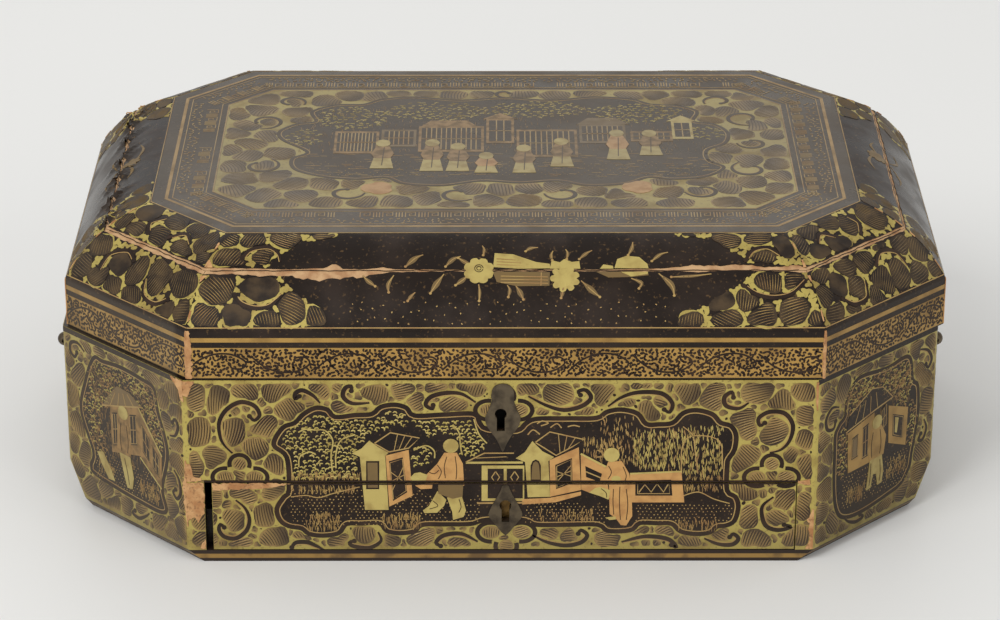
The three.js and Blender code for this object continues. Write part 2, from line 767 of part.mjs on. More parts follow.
function trayRim() {
  const outer = solidOf(slab(octagon(trayInset), trayFloorTop + jointGap, trayTop));
  const inner = solidOf(slab(octagon(trayInnerInset), trayFloorTop - 1, trayTop + 1));
  const step = solidOf(slab(octagon(trayInnerInset - trayRebate), trayLidBottom - jointGap, trayTop + 1));
  return outer.subtract(inner).subtract(step);
}

// Divider between the middle and one end. Its end side is stepped down to carry the lid.
function trayDividerBoard(sign) {
  const near = sign * trayCellHalfLength;
  const far = sign * (trayCellHalfLength + trayDivider);
  const x = [Math.min(near, far), Math.max(near, far)];
  const board = blockSolid(x, around(0, trayInnerY - jointGap), [trayFloorTop + jointGap, trayTop]);
  const stepNear = sign * (trayCellHalfLength + trayDivider - trayRebate);
  const stepFar = sign * (trayCellHalfLength + trayDivider + 1);
  const stepX = [Math.min(stepNear, stepFar), Math.max(stepNear, stepFar)];
  return board.subtract(blockSolid(stepX, around(0, trayInnerY), [trayLidBottom - jointGap, trayTop + 1]));
}

function trayLid(sign) {
  const outline = octagon(trayInnerInset - trayRebate + slideGap);
  const plate = solidOf(slab(outline, trayLidBottom, trayTop));
  const near = sign * (trayCellHalfLength + trayDivider - trayRebate + slideGap);
  const far = sign * caseLength;
  const x = [Math.min(near, far), Math.max(near, far)];
  return plate.intersect(blockSolid(x, around(0, caseDepth), [trayLidBottom - 1, trayTop + 1]));
}

function knob(x) {
  const profile = [
    [0, 0],
    [knobRadius * 0.62, 0],
    [knobRadius * 0.62, knobHeight * 0.1],
    [knobRadius * 0.34, knobHeight * 0.24],
    [knobRadius * 0.34, knobHeight * 0.38],
    [knobRadius * 0.8, knobHeight * 0.5],
    [knobRadius, knobHeight * 0.66],
    [knobRadius * 0.86, knobHeight * 0.84],
    [knobRadius * 0.4, knobHeight * 0.96],
    [0, knobHeight],
  ];
  const points = profile.map(([radius, z]) => new THREE.Vector2(radius, z));
  const turned = new THREE.LatheGeometry(points, 16);
  turned.rotateX(Math.PI / 2);
  turned.translate(x, 0, trayTop);
  return turned;
}

add("tray_floor", slab(octagon(trayInset), trayBottom, trayFloorTop), blackLacquer);
add("tray_rim", trayRim(), blackLacquer);
const crossDividerX = around(0, trayCellHalfLength - jointGap);
add(
  "tray_cross_divider",
  block(crossDividerX, around(0, trayDivider / 2), [trayFloorTop + jointGap, trayTop - trayLidThickness]),
  blackLacquer,
);
const knobX = (caseHalfLength - trayInnerInset + trayCellHalfLength + trayDivider) / 2;
for (const [side, sign] of [["left", -1], ["right", 1]]) {
  add("tray_divider_" + side, trayDividerBoard(sign), blackLacquer);
  add("tray_lid_" + side, trayLid(sign), gildedLacquer);
  add("tray_knob_" + side, knob(sign * knobX), turnedBone);
}

export default box;
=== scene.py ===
import math
import random

import bmesh
import bpy
import numpy as np
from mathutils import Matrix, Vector
from mathutils.geometry import convex_hull_2d, tessellate_polygon


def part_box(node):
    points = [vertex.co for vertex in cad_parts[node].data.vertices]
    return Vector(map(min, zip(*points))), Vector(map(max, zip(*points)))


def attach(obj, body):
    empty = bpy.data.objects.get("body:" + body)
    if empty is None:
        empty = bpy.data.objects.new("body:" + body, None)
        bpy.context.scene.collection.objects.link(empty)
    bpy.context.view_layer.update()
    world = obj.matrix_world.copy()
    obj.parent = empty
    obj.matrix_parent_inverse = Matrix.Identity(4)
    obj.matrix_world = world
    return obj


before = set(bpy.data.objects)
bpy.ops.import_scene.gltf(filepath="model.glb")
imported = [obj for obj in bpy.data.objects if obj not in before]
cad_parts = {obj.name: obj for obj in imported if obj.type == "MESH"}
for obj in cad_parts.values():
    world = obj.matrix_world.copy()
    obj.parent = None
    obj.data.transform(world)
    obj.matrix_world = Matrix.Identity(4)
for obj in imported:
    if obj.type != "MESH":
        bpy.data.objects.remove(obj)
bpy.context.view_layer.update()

# Camera and table
# A long lens looks down on the box from the front; the table is a wide pale sheet under soft studio light.
MM = 0.001
LENS_MM = 129.68
CAMERA_PLACE = (-0.00236, -1.43172, 0.69174)
CAMERA_TILT = 66.02
CAMERA_TURN = -0.09
TABLE_SIZE = 14
STUDIO_TINT = (1.0, 0.995, 0.985, 1)
STUDIO_LIGHT = 0.62


def colour(red, green, blue, gain=1.0):
    """A screen colour, 0 to 255, as the linear colour that a shader takes."""
    linear = [c / 255 / 12.92 if c <= 10 else ((c / 255 + 0.055) / 1.055) ** 2.4 for c in (red, green, blue)]
    return (*[min(1.0, c * gain) for c in linear], 1.0)


scene = bpy.context.scene
scene.view_settings.view_transform = "Standard"
lens = bpy.data.cameras.new("camera")
lens.sensor_width = 36
lens.lens = LENS_MM
camera = bpy.data.objects.new("camera", lens)
camera.location = CAMERA_PLACE
camera.rotation_euler = (math.radians(CAMERA_TILT), 0, math.radians(CAMERA_TURN))
scene.collection.objects.link(camera)
scene.camera = camera


class Value:
    """A shader value. Arithmetic on it adds the Math nodes."""

    def __init__(self, finish, socket):
        self.finish = finish
        self.socket = socket

    def math(self, operation, *others):
        return self.finish.node("ShaderNodeMath", {"operation": operation}, dict(enumerate([self, *others])))

    def __add__(self, other):
        return self.math("ADD", other)

    def __mul__(self, other):
        return self.math("MULTIPLY", other)

    __radd__ = __add__
    __rmul__ = __mul__

    def over(self, low, high):
        """0 below low, 1 above high, smooth between. With low above high it falls instead."""
        limits = {"Value": self, "From Min": low, "From Max": high}
        return self.finish.node("ShaderNodeMapRange", {"interpolation_type": "SMOOTHSTEP"}, limits)


class Finish:
    """A material and the nodes that vary it."""

    def __init__(self, name, **settings):
        self.material = bpy.data.materials.new(name)
        self.material.use_nodes = True
        self.tree = self.material.node_tree
        self.shader = self.tree.nodes["Principled BSDF"]
        for key, value in settings.items():
            self.shader.inputs[key.replace("_", " ")].default_value = value
        self.place = self.node("ShaderNodeTexCoord", out=3)

    def node(self, kind, settings=(), sockets=(), out=0):
        node = self.tree.nodes.new(kind)
        for key, value in dict(settings).items():
            setattr(node, key, value)
        for key, value in dict(sockets).items():
            if isinstance(value, Value):
                self.tree.links.new(value.socket, node.inputs[key])
            else:
                node.inputs[key].default_value = value
        return Value(self, node.outputs[out])

    def noise(self, size, detail=2.0, stretch=(1, 1, 1)):
        """Cloudy variation about as wide as size, in mm."""
        where = self.node("ShaderNodeMapping", {"vector_type": "POINT"},
                          {"Vector": self.place, "Scale": stretch})
        return self.node("ShaderNodeTexNoise", {}, {"Vector": where, "Scale": 1000 / size, "Detail": detail})

    def axis(self, index):
        """Object position along X, Y or Z, in mm."""
        return self.node("ShaderNodeSeparateXYZ", {}, {0: self.place}, index) * 1000.0

    def mix(self, first, second, share):
        """first where share is 0, second where it is 1."""
        return self.node("ShaderNodeMix", {"data_type": "RGBA"}, {0: share, 6: first, 7: second}, 2)

    def feed(self, name, value):
        self.tree.links.new(value.socket, self.shader.inputs[name])

    def bump(self, height, depth, strength=0.5):
        """Relief from a value, depth in mm."""
        sockets = {"Height": height, "Distance": depth * MM, "Strength": strength}
        self.feed("Normal", self.node("ShaderNodeBump", {}, sockets))


table_finish = Finish("pale_table", Roughness=0.75)
table_finish.feed("Base Color", table_finish.mix(
    colour(235, 235, 233), colour(229, 229, 227), table_finish.noise(600)))
bpy.ops.object.select_all(action="DESELECT")
bpy.ops.mesh.primitive_grid_add(x_subdivisions=40, y_subdivisions=40, size=TABLE_SIZE)
table = bpy.context.object
table.name = "table"
table.data.materials.append(table_finish.material)

world = bpy.data.worlds.new("studio")
world.use_nodes = True
sky = world.node_tree.nodes["Background"].inputs
sky["Color"].default_value = STUDIO_TINT
sky["Strength"].default_value = STUDIO_LIGHT
scene.world = world


def softbox(name, place, aim, size, power):
    light = bpy.data.lights.new(name, "AREA")
    light.shape = "RECTANGLE"
    light.size, light.size_y = size
    light.energy = power
    holder = bpy.data.objects.new(name, light)
    holder.location = place
    holder.rotation_euler = (Vector(aim) - Vector(place)).to_track_quat("-Z", "Y").to_euler()
    scene.collection.objects.link(holder)


softbox("key", (-1.3, -1.7, 1.9), (0, 0, 0.05), (1.3, 1.3), 34)
softbox("fill", (1.5, -1.6, 1.2), (0, 0, 0.05), (1.4, 1.2), 9)
softbox("sheen", (-0.1, 1.6, 1.5), (0, 0, 0.12), (1.8, 0.9), 7)

# Lacquer coat of the case
# One skin of gilded lacquer covers the joints of the eight walls. It is laid on the wood, eased at the
# arrises, slopes in at the foot of the ends, and is cut out at the drawer's opening and at the keyhole.
HALF_LENGTH = 180.5
HALF_DEPTH = 128.7
CORNER_CUT = 53.5
KNEE_HEIGHT = 20
KNEE_SLOPE = 8.5 / 20
CASE_TOP = 81.6
OPENING_HALF = 120
OPENING_TOP = 36.1
COAT = 0.25
COAT_BURIED = 0.3
ARRIS_EASE = 0.9
SMOOTH_BELOW = 30
KEY_CUT = (-2.6, 2.6, 57.5, 70)


def pick(test, kind="verts"):
    """Selects what passes the test in the mesh that is being edited."""
    mesh = bpy.context.edit_object.data
    work = bmesh.from_edit_mesh(mesh)
    for elements in (work.verts, work.edges, work.faces):
        for element in elements:
            element.select_set(False)
    work.select_mode = {"verts": {"VERT"}, "edges": {"EDGE"}, "faces": {"FACE"}}[kind]
    bpy.context.tool_settings.mesh_select_mode = (kind == "verts", kind == "edges", kind == "faces")
    for element in getattr(work, kind):
        if test(element):
            element.select_set(True)
    work.select_flush_mode()
    bmesh.update_edit_mesh(mesh)


def block(name, low, high):
    """A box between two corners in mm, left in edit mode."""
    bpy.ops.object.select_all(action="DESELECT")
    centre = [(a + b) / 2 * MM for a, b in zip(low, high)]
    half = [(b - a) / 2 * MM for a, b in zip(low, high)]
    bpy.ops.mesh.primitive_cube_add(size=2, location=centre, scale=half)
    bpy.ops.object.transform_apply(location=True, rotation=True, scale=True)
    made = bpy.context.object
    made.name = made.data.name = name
    bpy.ops.object.mode_set(mode="EDIT")
    return made


def upright(edge):
    first, second = [v.co for v in edge.verts]
    return abs(first.z - second.z) > 0.9 * (first - second).length


def octagon_block(name, proud, z0, z1):
    reach = (HALF_LENGTH + proud, HALF_DEPTH + proud)
    made = block(name, (-reach[0], -reach[1], z0), (reach[0], reach[1], z1))
    pick(upright, "edges")
    bpy.ops.mesh.bevel(offset=(CORNER_CUT + proud * (2 - math.sqrt(2))) * MM, segments=1)
    return made


def cut_knees(proud):
    for sign in (-1, 1):
        bpy.ops.mesh.select_all(action="SELECT")
        normal = Vector((sign, 0, -KNEE_SLOPE)).normalized()
        on_plane = Vector((sign * HALF_LENGTH, 0, KNEE_HEIGHT)) + normal * proud
        bpy.ops.mesh.bisect(plane_co=on_plane * MM, plane_no=normal, use_fill=True, clear_outer=True)


def shell_of(made, thickness, ease):
    """Opens the block at top and bottom, eases its arrises, and gives what is left a thickness."""
    pick(lambda face: abs(face.normal.z) > 0.99, "faces")
    bpy.ops.mesh.delete(type="ONLY_FACE")
    pick(lambda edge: len(edge.link_faces) == 2 and edge.calc_face_angle() > 0.3, "edges")
    bpy.ops.mesh.bevel(offset=ease * MM, segments=3)
    bpy.ops.mesh.select_all(action="SELECT")
    bpy.ops.mesh.normals_make_consistent(inside=False)
    bpy.ops.object.mode_set(mode="OBJECT")
    solid = made.modifiers.new("thickness", "SOLIDIFY")
    solid.thickness = thickness * MM
    solid.offset = -1
    solid.use_even_offset = True
    bpy.ops.object.modifier_apply(modifier=solid.name)


def cut_through_front(made, *openings):
    """Cuts openings (left, right, bottom, top) in mm through the front of a piece."""
    for left, right, bottom, top in openings:
        tool = block("tool", (left, -135, bottom), (right, -120, top))
        bpy.ops.object.mode_set(mode="OBJECT")
        bpy.context.view_layer.objects.active = made
        cut = made.modifiers.new("cut", "BOOLEAN")
        cut.operation = "DIFFERENCE"
        cut.object = tool
        cut.solver = "EXACT"
        bpy.ops.object.modifier_apply(modifier=cut.name)
        bpy.data.objects.remove(tool)


def settle(made, finish, body):
    """Smooths a finished piece, gives it its finish, and lets it ride on its body."""
    bpy.ops.object.select_all(action="DESELECT")
    made.select_set(True)
    bpy.context.view_layer.objects.active = made
    bpy.ops.object.shade_smooth_by_angle(angle=math.radians(SMOOTH_BELOW))
    made.data.materials.clear()
    made.data.materials.append(finish.material)
    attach(made, body)


def dust_sheen_and_shade(finish, base):
    """Grey film: dust and a painted sheen on the flat top, greyer towards the foot of the case, a painted
    sheen on the cants and the lid's ends, and a dark brown painted shade on the right cant and end.
    """
    height = finish.axis(2)
    film = finish.noise(55, 3).over(0.42, 0.68)
    away = finish.axis(0).math("ABSOLUTE")
    # Greyer towards the foot of the case.
    low = height.over(26, 2) * 0.25
    # On the flat top the film is dust and a painted sheen.
    top = height.over(130.5, 131) * 0.6
    # Cants and ends below the lid's cushion, and the lid's ends above its band: a painted grey sheen.
    cant_sheen_and_shade = away.over(128.5, 131) * height.over(106, 101) * 0.36
    side = cant_sheen_and_shade + away.over(150, 175) * height.over(104, 108) * 0.2
    # On the right cant and end the film turns dark brown: painted shade.
    right_painted_shade = finish.axis(0).over(128.5, 131) * height.over(106, 101)
    film_sheen_shade_colour = finish.mix(colour(100, 90, 76), colour(52, 43, 30), right_painted_shade)
    return finish.mix(base, film_sheen_shade_colour, (low + top + side) * (0.72 + film * 0.28))


gilded = Finish("gilded_lacquer_ground", Metallic=0.2, Specular_IOR_Level=0.35)
rubbed = gilded.noise(16, 4).over(0.46, 0.66)
specks = gilded.noise(1.3, 2).over(0.56, 0.72)
gilded.feed("Base Color", dust_sheen_and_shade(gilded, gilded.mix(gilded.mix(
    colour(178, 160, 84), colour(150, 129, 66), rubbed), colour(88, 66, 40), specks * 0.5)))
gilded.feed("Roughness", 0.34 + rubbed * 0.2)
gilded.bump(gilded.noise(2.4, 3), 0.12, 0.35)

case_coat = octagon_block("case_lacquer", COAT, 5.2, CASE_TOP - 0.1)
cut_knees(COAT)
shell_of(case_coat, COAT + COAT_BURIED, ARRIS_EASE)
cut_through_front(case_coat, (-OPENING_HALF, OPENING_HALF, 0, OPENING_TOP), KEY_CUT)
settle(case_coat, gilded, "case")

# Painted work
# Everything on the lacquer was laid with a brush: shaded leaf pads with hatched veins, dark scrolls with a
# light edge, and framed garden scenes. Each stroke is a thin closed body on the coat, drawn in the face's own
# flat measure (u across, v up, h off the wood, in mm) and then set on the face.
SIDE_HALF = [HALF_LENGTH - CORNER_CUT, CORNER_CUT / math.sqrt(2), HALF_DEPTH - CORNER_CUT]
SINK = 0.12
VEIN_SINK = 0.25
FIELD_TOP = 0.31
LEAF_TOP = 0.33
FRAME_TOP = 0.36
SCROLL_TOP = 0.37
DAB_TOP = 0.43
LINE_TOP = 0.47
QUARTERS = (0.25, 0.5, 0.75)


def side_frame(index):
    """Outward and sideways directions of one of the eight sides, its middle and half its length."""
    angle = math.radians(45 * index - 90)
    out = (math.cos(angle), math.sin(angle))
    across = (-out[1], out[0])
    if index % 2:
        middle = [math.copysign(a - CORNER_CUT / 2, b) for a, b in zip((HALF_LENGTH, HALF_DEPTH), out)]
        return out, across, middle, SIDE_HALF[1]
    if index % 4:
        return out, across, (HALF_LENGTH * out[0], 0), SIDE_HALF[2]
    return out, across, (0, HALF_DEPTH * out[1]), SIDE_HALF[0]


def wall_face(index, shift=0.0):
    """Sets flat drawings on a wall of the case or the band of the lid."""
    out, across, middle, _ = side_frame(index)
    knee = index in (2, 6)

    def place(u, v, h):
        away = h
        if knee and v < KNEE_HEIGHT:
            away -= (KNEE_HEIGHT - v) * KNEE_SLOPE
        return (
            (middle[0] + across[0] * u + out[0] * away + shift) * MM,
            (middle[1] + across[1] * u + out[1] * away) * MM,
            v * MM,
        )

    return place


class Paint:
    """The strokes of one paint on one face, each a closed body in that face's flat measure."""

    def __init__(self):
        self.strokes = []

    def add(self, points, faces, shades=None):
        self.strokes.append((points, faces, shades or [0.5] * len(points)))


def middle_of(outline):
    return (sum(p[0] for p in outline) / len(outline), sum(p[1] for p in outline) / len(outline))


def rectangle(left, right, low, high):
    return [(left, low), (right, low), (right, high), (left, high)]


def counterclockwise(outline):
    area = sum(a[0] * b[1] - b[0] * a[1] for a, b in zip(outline, outline[1:] + outline[:1]))
    return list(outline) if area > 0 else list(outline)[::-1]


def pad(paint, outline, top, centre, dome=0.0, shades=None):
    """A thin plate over an outline whose points all show from its centre."""
    count = len(outline)
    points = [(u, v, SINK) for u, v in outline] + [(u, v, top) for u, v in outline]
    points += [(*centre, SINK), (*centre, top + dome)]
    faces = []
    for i in range(count):
        j = (i + 1) % count
        faces += [
            (i, j, count + j, count + i),
            (count + i, count + j, 2 * count + 1),
            (j, i, 2 * count),
        ]
    if shades is not None:
        shades = list(shades) * 2 + [sum(shades) / count] * 2
    paint.add(points, faces, shades)


def plate(paint, outline, top):
    """A thin plate over any outline."""
    outline = counterclockwise(outline)
    count = len(outline)
    triangles = tessellate_polygon([[Vector((u, v, 0)) for u, v in outline]])
    points = [(u, v, SINK) for u, v in outline] + [(u, v, top) for u, v in outline]
    faces = [(i, (i + 1) % count, count + (i + 1) % count, count + i) for i in range(count)]
    for a, b, c in triangles:
        pa, pb, pc = outline[a], outline[b], outline[c]
        turn = (pb[0] - pa[0]) * (pc[1] - pa[1]) - (pb[1] - pa[1]) * (pc[0] - pa[0])
        if turn < 0:
            b, c = c, b
        faces += [(count + a, count + b, count + c), (c, b, a)]
    paint.add(points, faces)


def flow(marks, step=0.9, closed=False):
    """An even row of points along a smooth line through the marks."""
    marks = [Vector(m) for m in marks]
    count = len(marks)
    row = []
    for i in range(count if closed else count - 1):
        places = [(i + k) % count if closed else min(max(i + k, 0), count - 1) for k in (-1, 0, 1, 2)]
        before, start, end, after = [marks[place] for place in places]
        parts = max(1, math.ceil((end - start).length / step))
        for k in range(parts):
            t = k / parts
            row.append(0.5 * (
                2 * start + (end - before) * t + (2 * before - 5 * start + 4 * end - after) * t * t
                + (3 * start - before - 3 * end + after) * t ** 3))
    if not closed:
        row.append(marks[-1])
    return [(p.x, p.y) for p in row]


def sideways(path, closed=False):
    """Unit vectors to the left of a path at each of its points."""
    count = len(path)
    lefts = []
    for i in range(count):
        a = path[i - 1] if i or closed else path[0]
        b = path[(i + 1) % count] if i + 1 < count or closed else path[-1]
        along = Vector((b[0] - a[0], b[1] - a[1]))
        along = along.normalized() if along.length > 1e-9 else Vector((1, 0))
        lefts.append((-along.y, along.x))
    return lefts


def beside(path, reaches, closed=False):
    """The path moved to its left, by its own reach at each point."""
    return [(p[0] + n[0] * r, p[1] + n[1] * r) for p, n, r in zip(path, sideways(path, closed), reaches)]


def strip(paint, lefts, rights, top, closed=False, base=SINK):
    """A flat stroke between two rows of points."""
    count = len(lefts)
    points = []
    for left, right in zip(lefts, rights):
        points += [(*left, base), (*left, top), (*right, top), (*right, base)]
    faces = []
    for i in range(count if closed else count - 1):
        a, b = 4 * i, 4 * ((i + 1) % count)
        for k, m in ((1, 2), (2, 3), (3, 0), (0, 1)):
            faces.append((a + k, a + m, b + m, b + k))
    if not closed:
        last = 4 * (count - 1)
        faces += [(0, 3, 2, 1), (last + 1, last + 2, last + 3, last)]
    paint.add(points, faces)


def band(paint, path, width, top, closed=False, base=SINK):
    """A flat stroke along a path. width is a number, or a rule that takes 0 to 1 along it."""
    count = len(path)
    halves = [(width(i / max(1, count - 1)) if callable(width) else width) / 2 for i in range(count)]
    rights = beside(path, [-half for half in halves], closed)
    strip(paint, beside(path, halves, closed), rights, top, closed, base)


def line(paint, marks, width=0.42, top=LINE_TOP):
    band(paint, marks, width, top)


def vein(paint, path, width, top, base):
    """A fine raised line, three-sided."""
    lefts = sideways(path)
    last_index = len(path) - 1
    points = []
    for i, ((u, v), (lu, lv)) in enumerate(zip(path, lefts)):
        half = width / 2 * (0.55 if i in (0, last_index) else 1.0)
        points += [(u + lu * half, v + lv * half, base), (u, v, top), (u - lu * half, v - lv * half, base)]
    faces = []
    for i in range(last_index):
        a, b = 3 * i, 3 * (i + 1)
        faces += [(a, a + 1, b + 1, b), (a + 1, a + 2, b + 2, b + 1), (a + 2, a, b, b + 2)]
    last = 3 * last_index
    faces += [(0, 2, 1), (last + 1, last + 2, last)]
    paint.add(points, faces)


def dot(paint, u, v, radius, top, rng=None, sides=6, tall=1.0, turn=0.0):
    """A small pad, round or drawn out."""
    outline = []
    for k in range(sides):
        angle = 2 * math.pi * k / sides
        reach = radius * (rng.uniform(0.8, 1.15) if rng else 1.0)
        x, y = reach * math.cos(angle), reach * tall * math.sin(angle)
        outline.append((
            u + x * math.cos(turn) - y * math.sin(turn),
            v + x * math.sin(turn) + y * math.cos(turn),
        ))
    pad(paint, outline, top, centre=(u, v))


def within(strokes, window):
    """The strokes that show in a window (u0, u1, v0, v1), cut at its edges."""
    if not window:
        return strokes
    left, right, low, high = window
    whole, crossing = [], []
    for stroke in strokes:
        us = [p[0] for p in stroke[0]]
        vs = [p[1] for p in stroke[0]]
        if max(us) <= left or min(us) >= right or max(vs) <= low or min(vs) >= high:
            continue
        inside = min(us) >= left and max(us) <= right and min(vs) >= low and max(vs) <= high
        (whole if inside else crossing).append(stroke)
    return whole + ([trim(crossing, window)] if crossing else [])


def trim(strokes, window):
    """The strokes cut at the edges of a window, each cut closed."""
    work = bmesh.new()
    layer = work.verts.layers.float.new("shade")
    for points, faces, shades in strokes:
        verts = []
        for point, shade in zip(points, shades):
            vert = work.verts.new(point)
            vert[layer] = shade
            verts.append(vert)
        for face in faces:
            work.faces.new([verts[i] for i in face])
    u0, u1, v0, v1 = window
    for on_plane, normal in (((u0, 0, 0), (-1, 0, 0)), ((u1, 0, 0), (1, 0, 0)),
                             ((0, v0, 0), (0, -1, 0)), ((0, v1, 0), (0, 1, 0))):
        cut = bmesh.ops.bisect_plane(
            work, geom=work.verts[:] + work.edges[:] + work.faces[:], dist=1e-5,
            plane_co=on_plane, plane_no=normal, clear_outer=True)
        edges = [e for e in cut["geom_cut"] if isinstance(e, bmesh.types.BMEdge)]
        rims = [e for e in edges if e.is_valid and e.is_boundary]
        if rims:
            bmesh.ops.holes_fill(work, edges=rims, sides=0)
    work.verts.index_update()
    cut_points = [tuple(v.co) for v in work.verts]
    cut_shades = [v[layer] for v in work.verts]
    cut_faces = [tuple(v.index for v in f.verts) for f in work.faces]
    work.free()
    return cut_points, cut_faces, cut_shades


class Room:
    """Where a face is still free for leaves, as a fine grid."""

    def __init__(self, u0, u1, v0, v1, step=0.5):
        self.start = (u0, v0)
        self.step = step
        self.us = np.arange(u0, u1, step)
        self.vs = np.arange(v0, v1, step)
        self.grid_u, self.grid_v = np.meshgrid(self.us, self.vs, indexing="ij")
        self.free = np.ones(self.grid_u.shape, bool)

    def inside(self, outline):
        found = np.zeros(self.free.shape, bool)
        for (ua, va), (ub, vb) in zip(outline, outline[1:] + outline[:1]):
            if va == vb:
                continue
            crosses = ((va > self.grid_v) != (vb > self.grid_v)) & (
                self.grid_u < (ub - ua) * (self.grid_v - va) / (vb - va) + ua)
            found ^= crosses
        return found

    def keep_in(self, outline):
        self.free &= self.inside(outline)

    def block(self, outline):
        self.free &= ~self.inside(outline)

    def block_path(self, path, radius):
        for u, v in path:
            i0, i1 = [int((u - self.start[0] + s * radius) / self.step) for s in (-1, 1)]
            j0, j1 = [int((v - self.start[1] + s * radius) / self.step) for s in (-1, 1)]
            i0, j0 = max(i0, 0), max(j0, 0)
            window = (slice(i0, i1 + 2), slice(j0, j1 + 2))
            far = (self.grid_u[window] - u) ** 2 + (self.grid_v[window] - v) ** 2
            self.free[window] &= far > radius * radius

    def open_at(self, u, v):
        i = int((u - self.start[0]) / self.step + 0.5)
        j = int((v - self.start[1]) / self.step + 0.5)
        return 0 <= i < self.free.shape[0] and 0 <= j < self.free.shape[1] and bool(self.free[i, j])


RIM_POINTS = 20


def leaf_rims(rng, room, spacing, gap, largest):
    """Packs the free room with leaf pads. Each is its middle and its reach in RIM_POINTS directions."""
    open_i, open_j = np.nonzero(room.free)
    order = list(range(len(open_i)))
    rng.shuffle(order)
    middles = []
    for k in order[:9000]:
        u = room.us[open_i[k]]
        v = room.vs[open_j[k]]
        wish = spacing * rng.uniform(0.82, 1.2)
        if all((u - a) ** 2 + (v - b) ** 2 > wish * wish for a, b in middles):
            middles.append((u, v))
    directions = [(math.cos(2 * math.pi * k / RIM_POINTS), math.sin(2 * math.pi * k / RIM_POINTS))
                  for k in range(RIM_POINTS)]
    rims = []
    for turn in range(2):
        rims = []
        for index, (u, v) in enumerate(middles):
            near_by = [(a - u, b - v) for k, (a, b) in enumerate(middles)
                       if k != index and abs(a - u) < 2.4 * spacing and abs(b - v) < 2.4 * spacing]
            own_gap = gap * (0.75 + 0.6 * ((index * 7919) % 13) / 13)
            reaches = []
            for du, dv in directions:
                reach = largest
                for a, b in near_by:
                    length = math.hypot(a, b)
                    facing = (du * a + dv * b) / length
                    if facing > 0.05:
                        reach = min(reach, (length / 2 - own_gap) / facing)
                walked = 0.0
                while walked < reach + own_gap and room.open_at(u + du * walked, v + dv * walked):
                    walked += 0.45
                if walked < reach + own_gap:
                    reach = min(reach, walked - own_gap)
                reaches.append(max(0.3, reach))
            for _ in range(2):
                reaches = [0.25 * reaches[k - 1] + 0.5 * reaches[k] + 0.25 * reaches[(k + 1) % RIM_POINTS]
                           for k in range(RIM_POINTS)]
            rims.append(((u, v), reaches))
        if turn == 0:
            moved = []
            for (u, v), reaches in rims:
                shift_u = sum(r * d[0] for r, d in zip(reaches, directions)) / RIM_POINTS
                shift_v = sum(r * d[1] for r, d in zip(reaches, directions)) / RIM_POINTS
                new = (u + shift_u, v + shift_v)
                moved.append(new if room.open_at(*new) else (u, v))
            middles = moved
    lobed = []
    for middle, reaches in rims:
        if sum(reaches) / RIM_POINTS > 0.9:
            lobes, phase = rng.choice((3, 4, 5)), rng.uniform(0, 6)
            lobed.append((middle, [r * (0.97 + 0.055 * math.sin(lobes * 2 * math.pi * k / RIM_POINTS + phase))
                                   * rng.uniform(0.97, 1.02) for k, r in enumerate(reaches)]))
    return lobed


def polar(middle, reach, angle):
    return (middle[0] + reach * math.cos(angle), middle[1] + reach * math.sin(angle))


def rim_outline(middle, reaches, grow=0.0):
    count = len(reaches)
    return [polar(middle, reach + grow, 2 * math.pi * k / count) for k, reach in enumerate(reaches)]


def hatch(rng, dark, light, middle, reaches, pitch, top, gilt=None):
    """Curved veins across a leaf pad, dark with gold ones between. With no dark paint only the gold ones."""
    turn = rng.uniform(0, math.pi)
    along = (math.cos(turn), math.sin(turn))
    left = (-along[1], along[0])
    bend = rng.uniform(-0.03, 0.03)
    fan = rng.uniform(-0.045, 0.045)
    largest = max(reaches)
    count = len(reaches)
    gilt = rng.random() < 0.75 if gilt is None else gilt
    offset = -largest + pitch * rng.uniform(0.3, 0.8)
    steps = int(2 * largest / 0.6)

    def over_pad(t, start=(0, 0)):
        aside = offset * (1 + fan * t) + bend * t * t
        return (start[0] + along[0] * t + left[0] * aside, start[1] + along[1] * t + left[1] * aside)

    line_number = 0
    while offset < largest:
        inside = []
        for k in range(steps + 1):
            t = -largest + 2 * largest * k / steps
            du, dv = over_pad(t)
            slot = (math.atan2(dv, du) % (2 * math.pi)) / (2 * math.pi) * count
            low = int(slot) % count
            reach = reaches[low] + (reaches[(low + 1) % count] - reaches[low]) * (slot - int(slot))
            if math.hypot(du, dv) < reach - 0.15:
                inside.append(t)
        if len(inside) > 2:
            start, end = inside[0] + rng.uniform(0, 0.7), inside[-1] - rng.uniform(0, 0.7)
            if end - start > 1.2:
                row = [over_pad(start + (end - start) * k / 3, middle) for k in range(4)]
                if line_number % 2 == 0 and dark:
                    vein(dark, row, pitch * rng.uniform(0.5, 0.66), top + 0.09, top - 0.05)
                elif line_number % 2 and gilt:
                    vein(light, row, 0.3, top + 0.08, top - 0.05)
        offset += pitch / 2
        line_number += 1


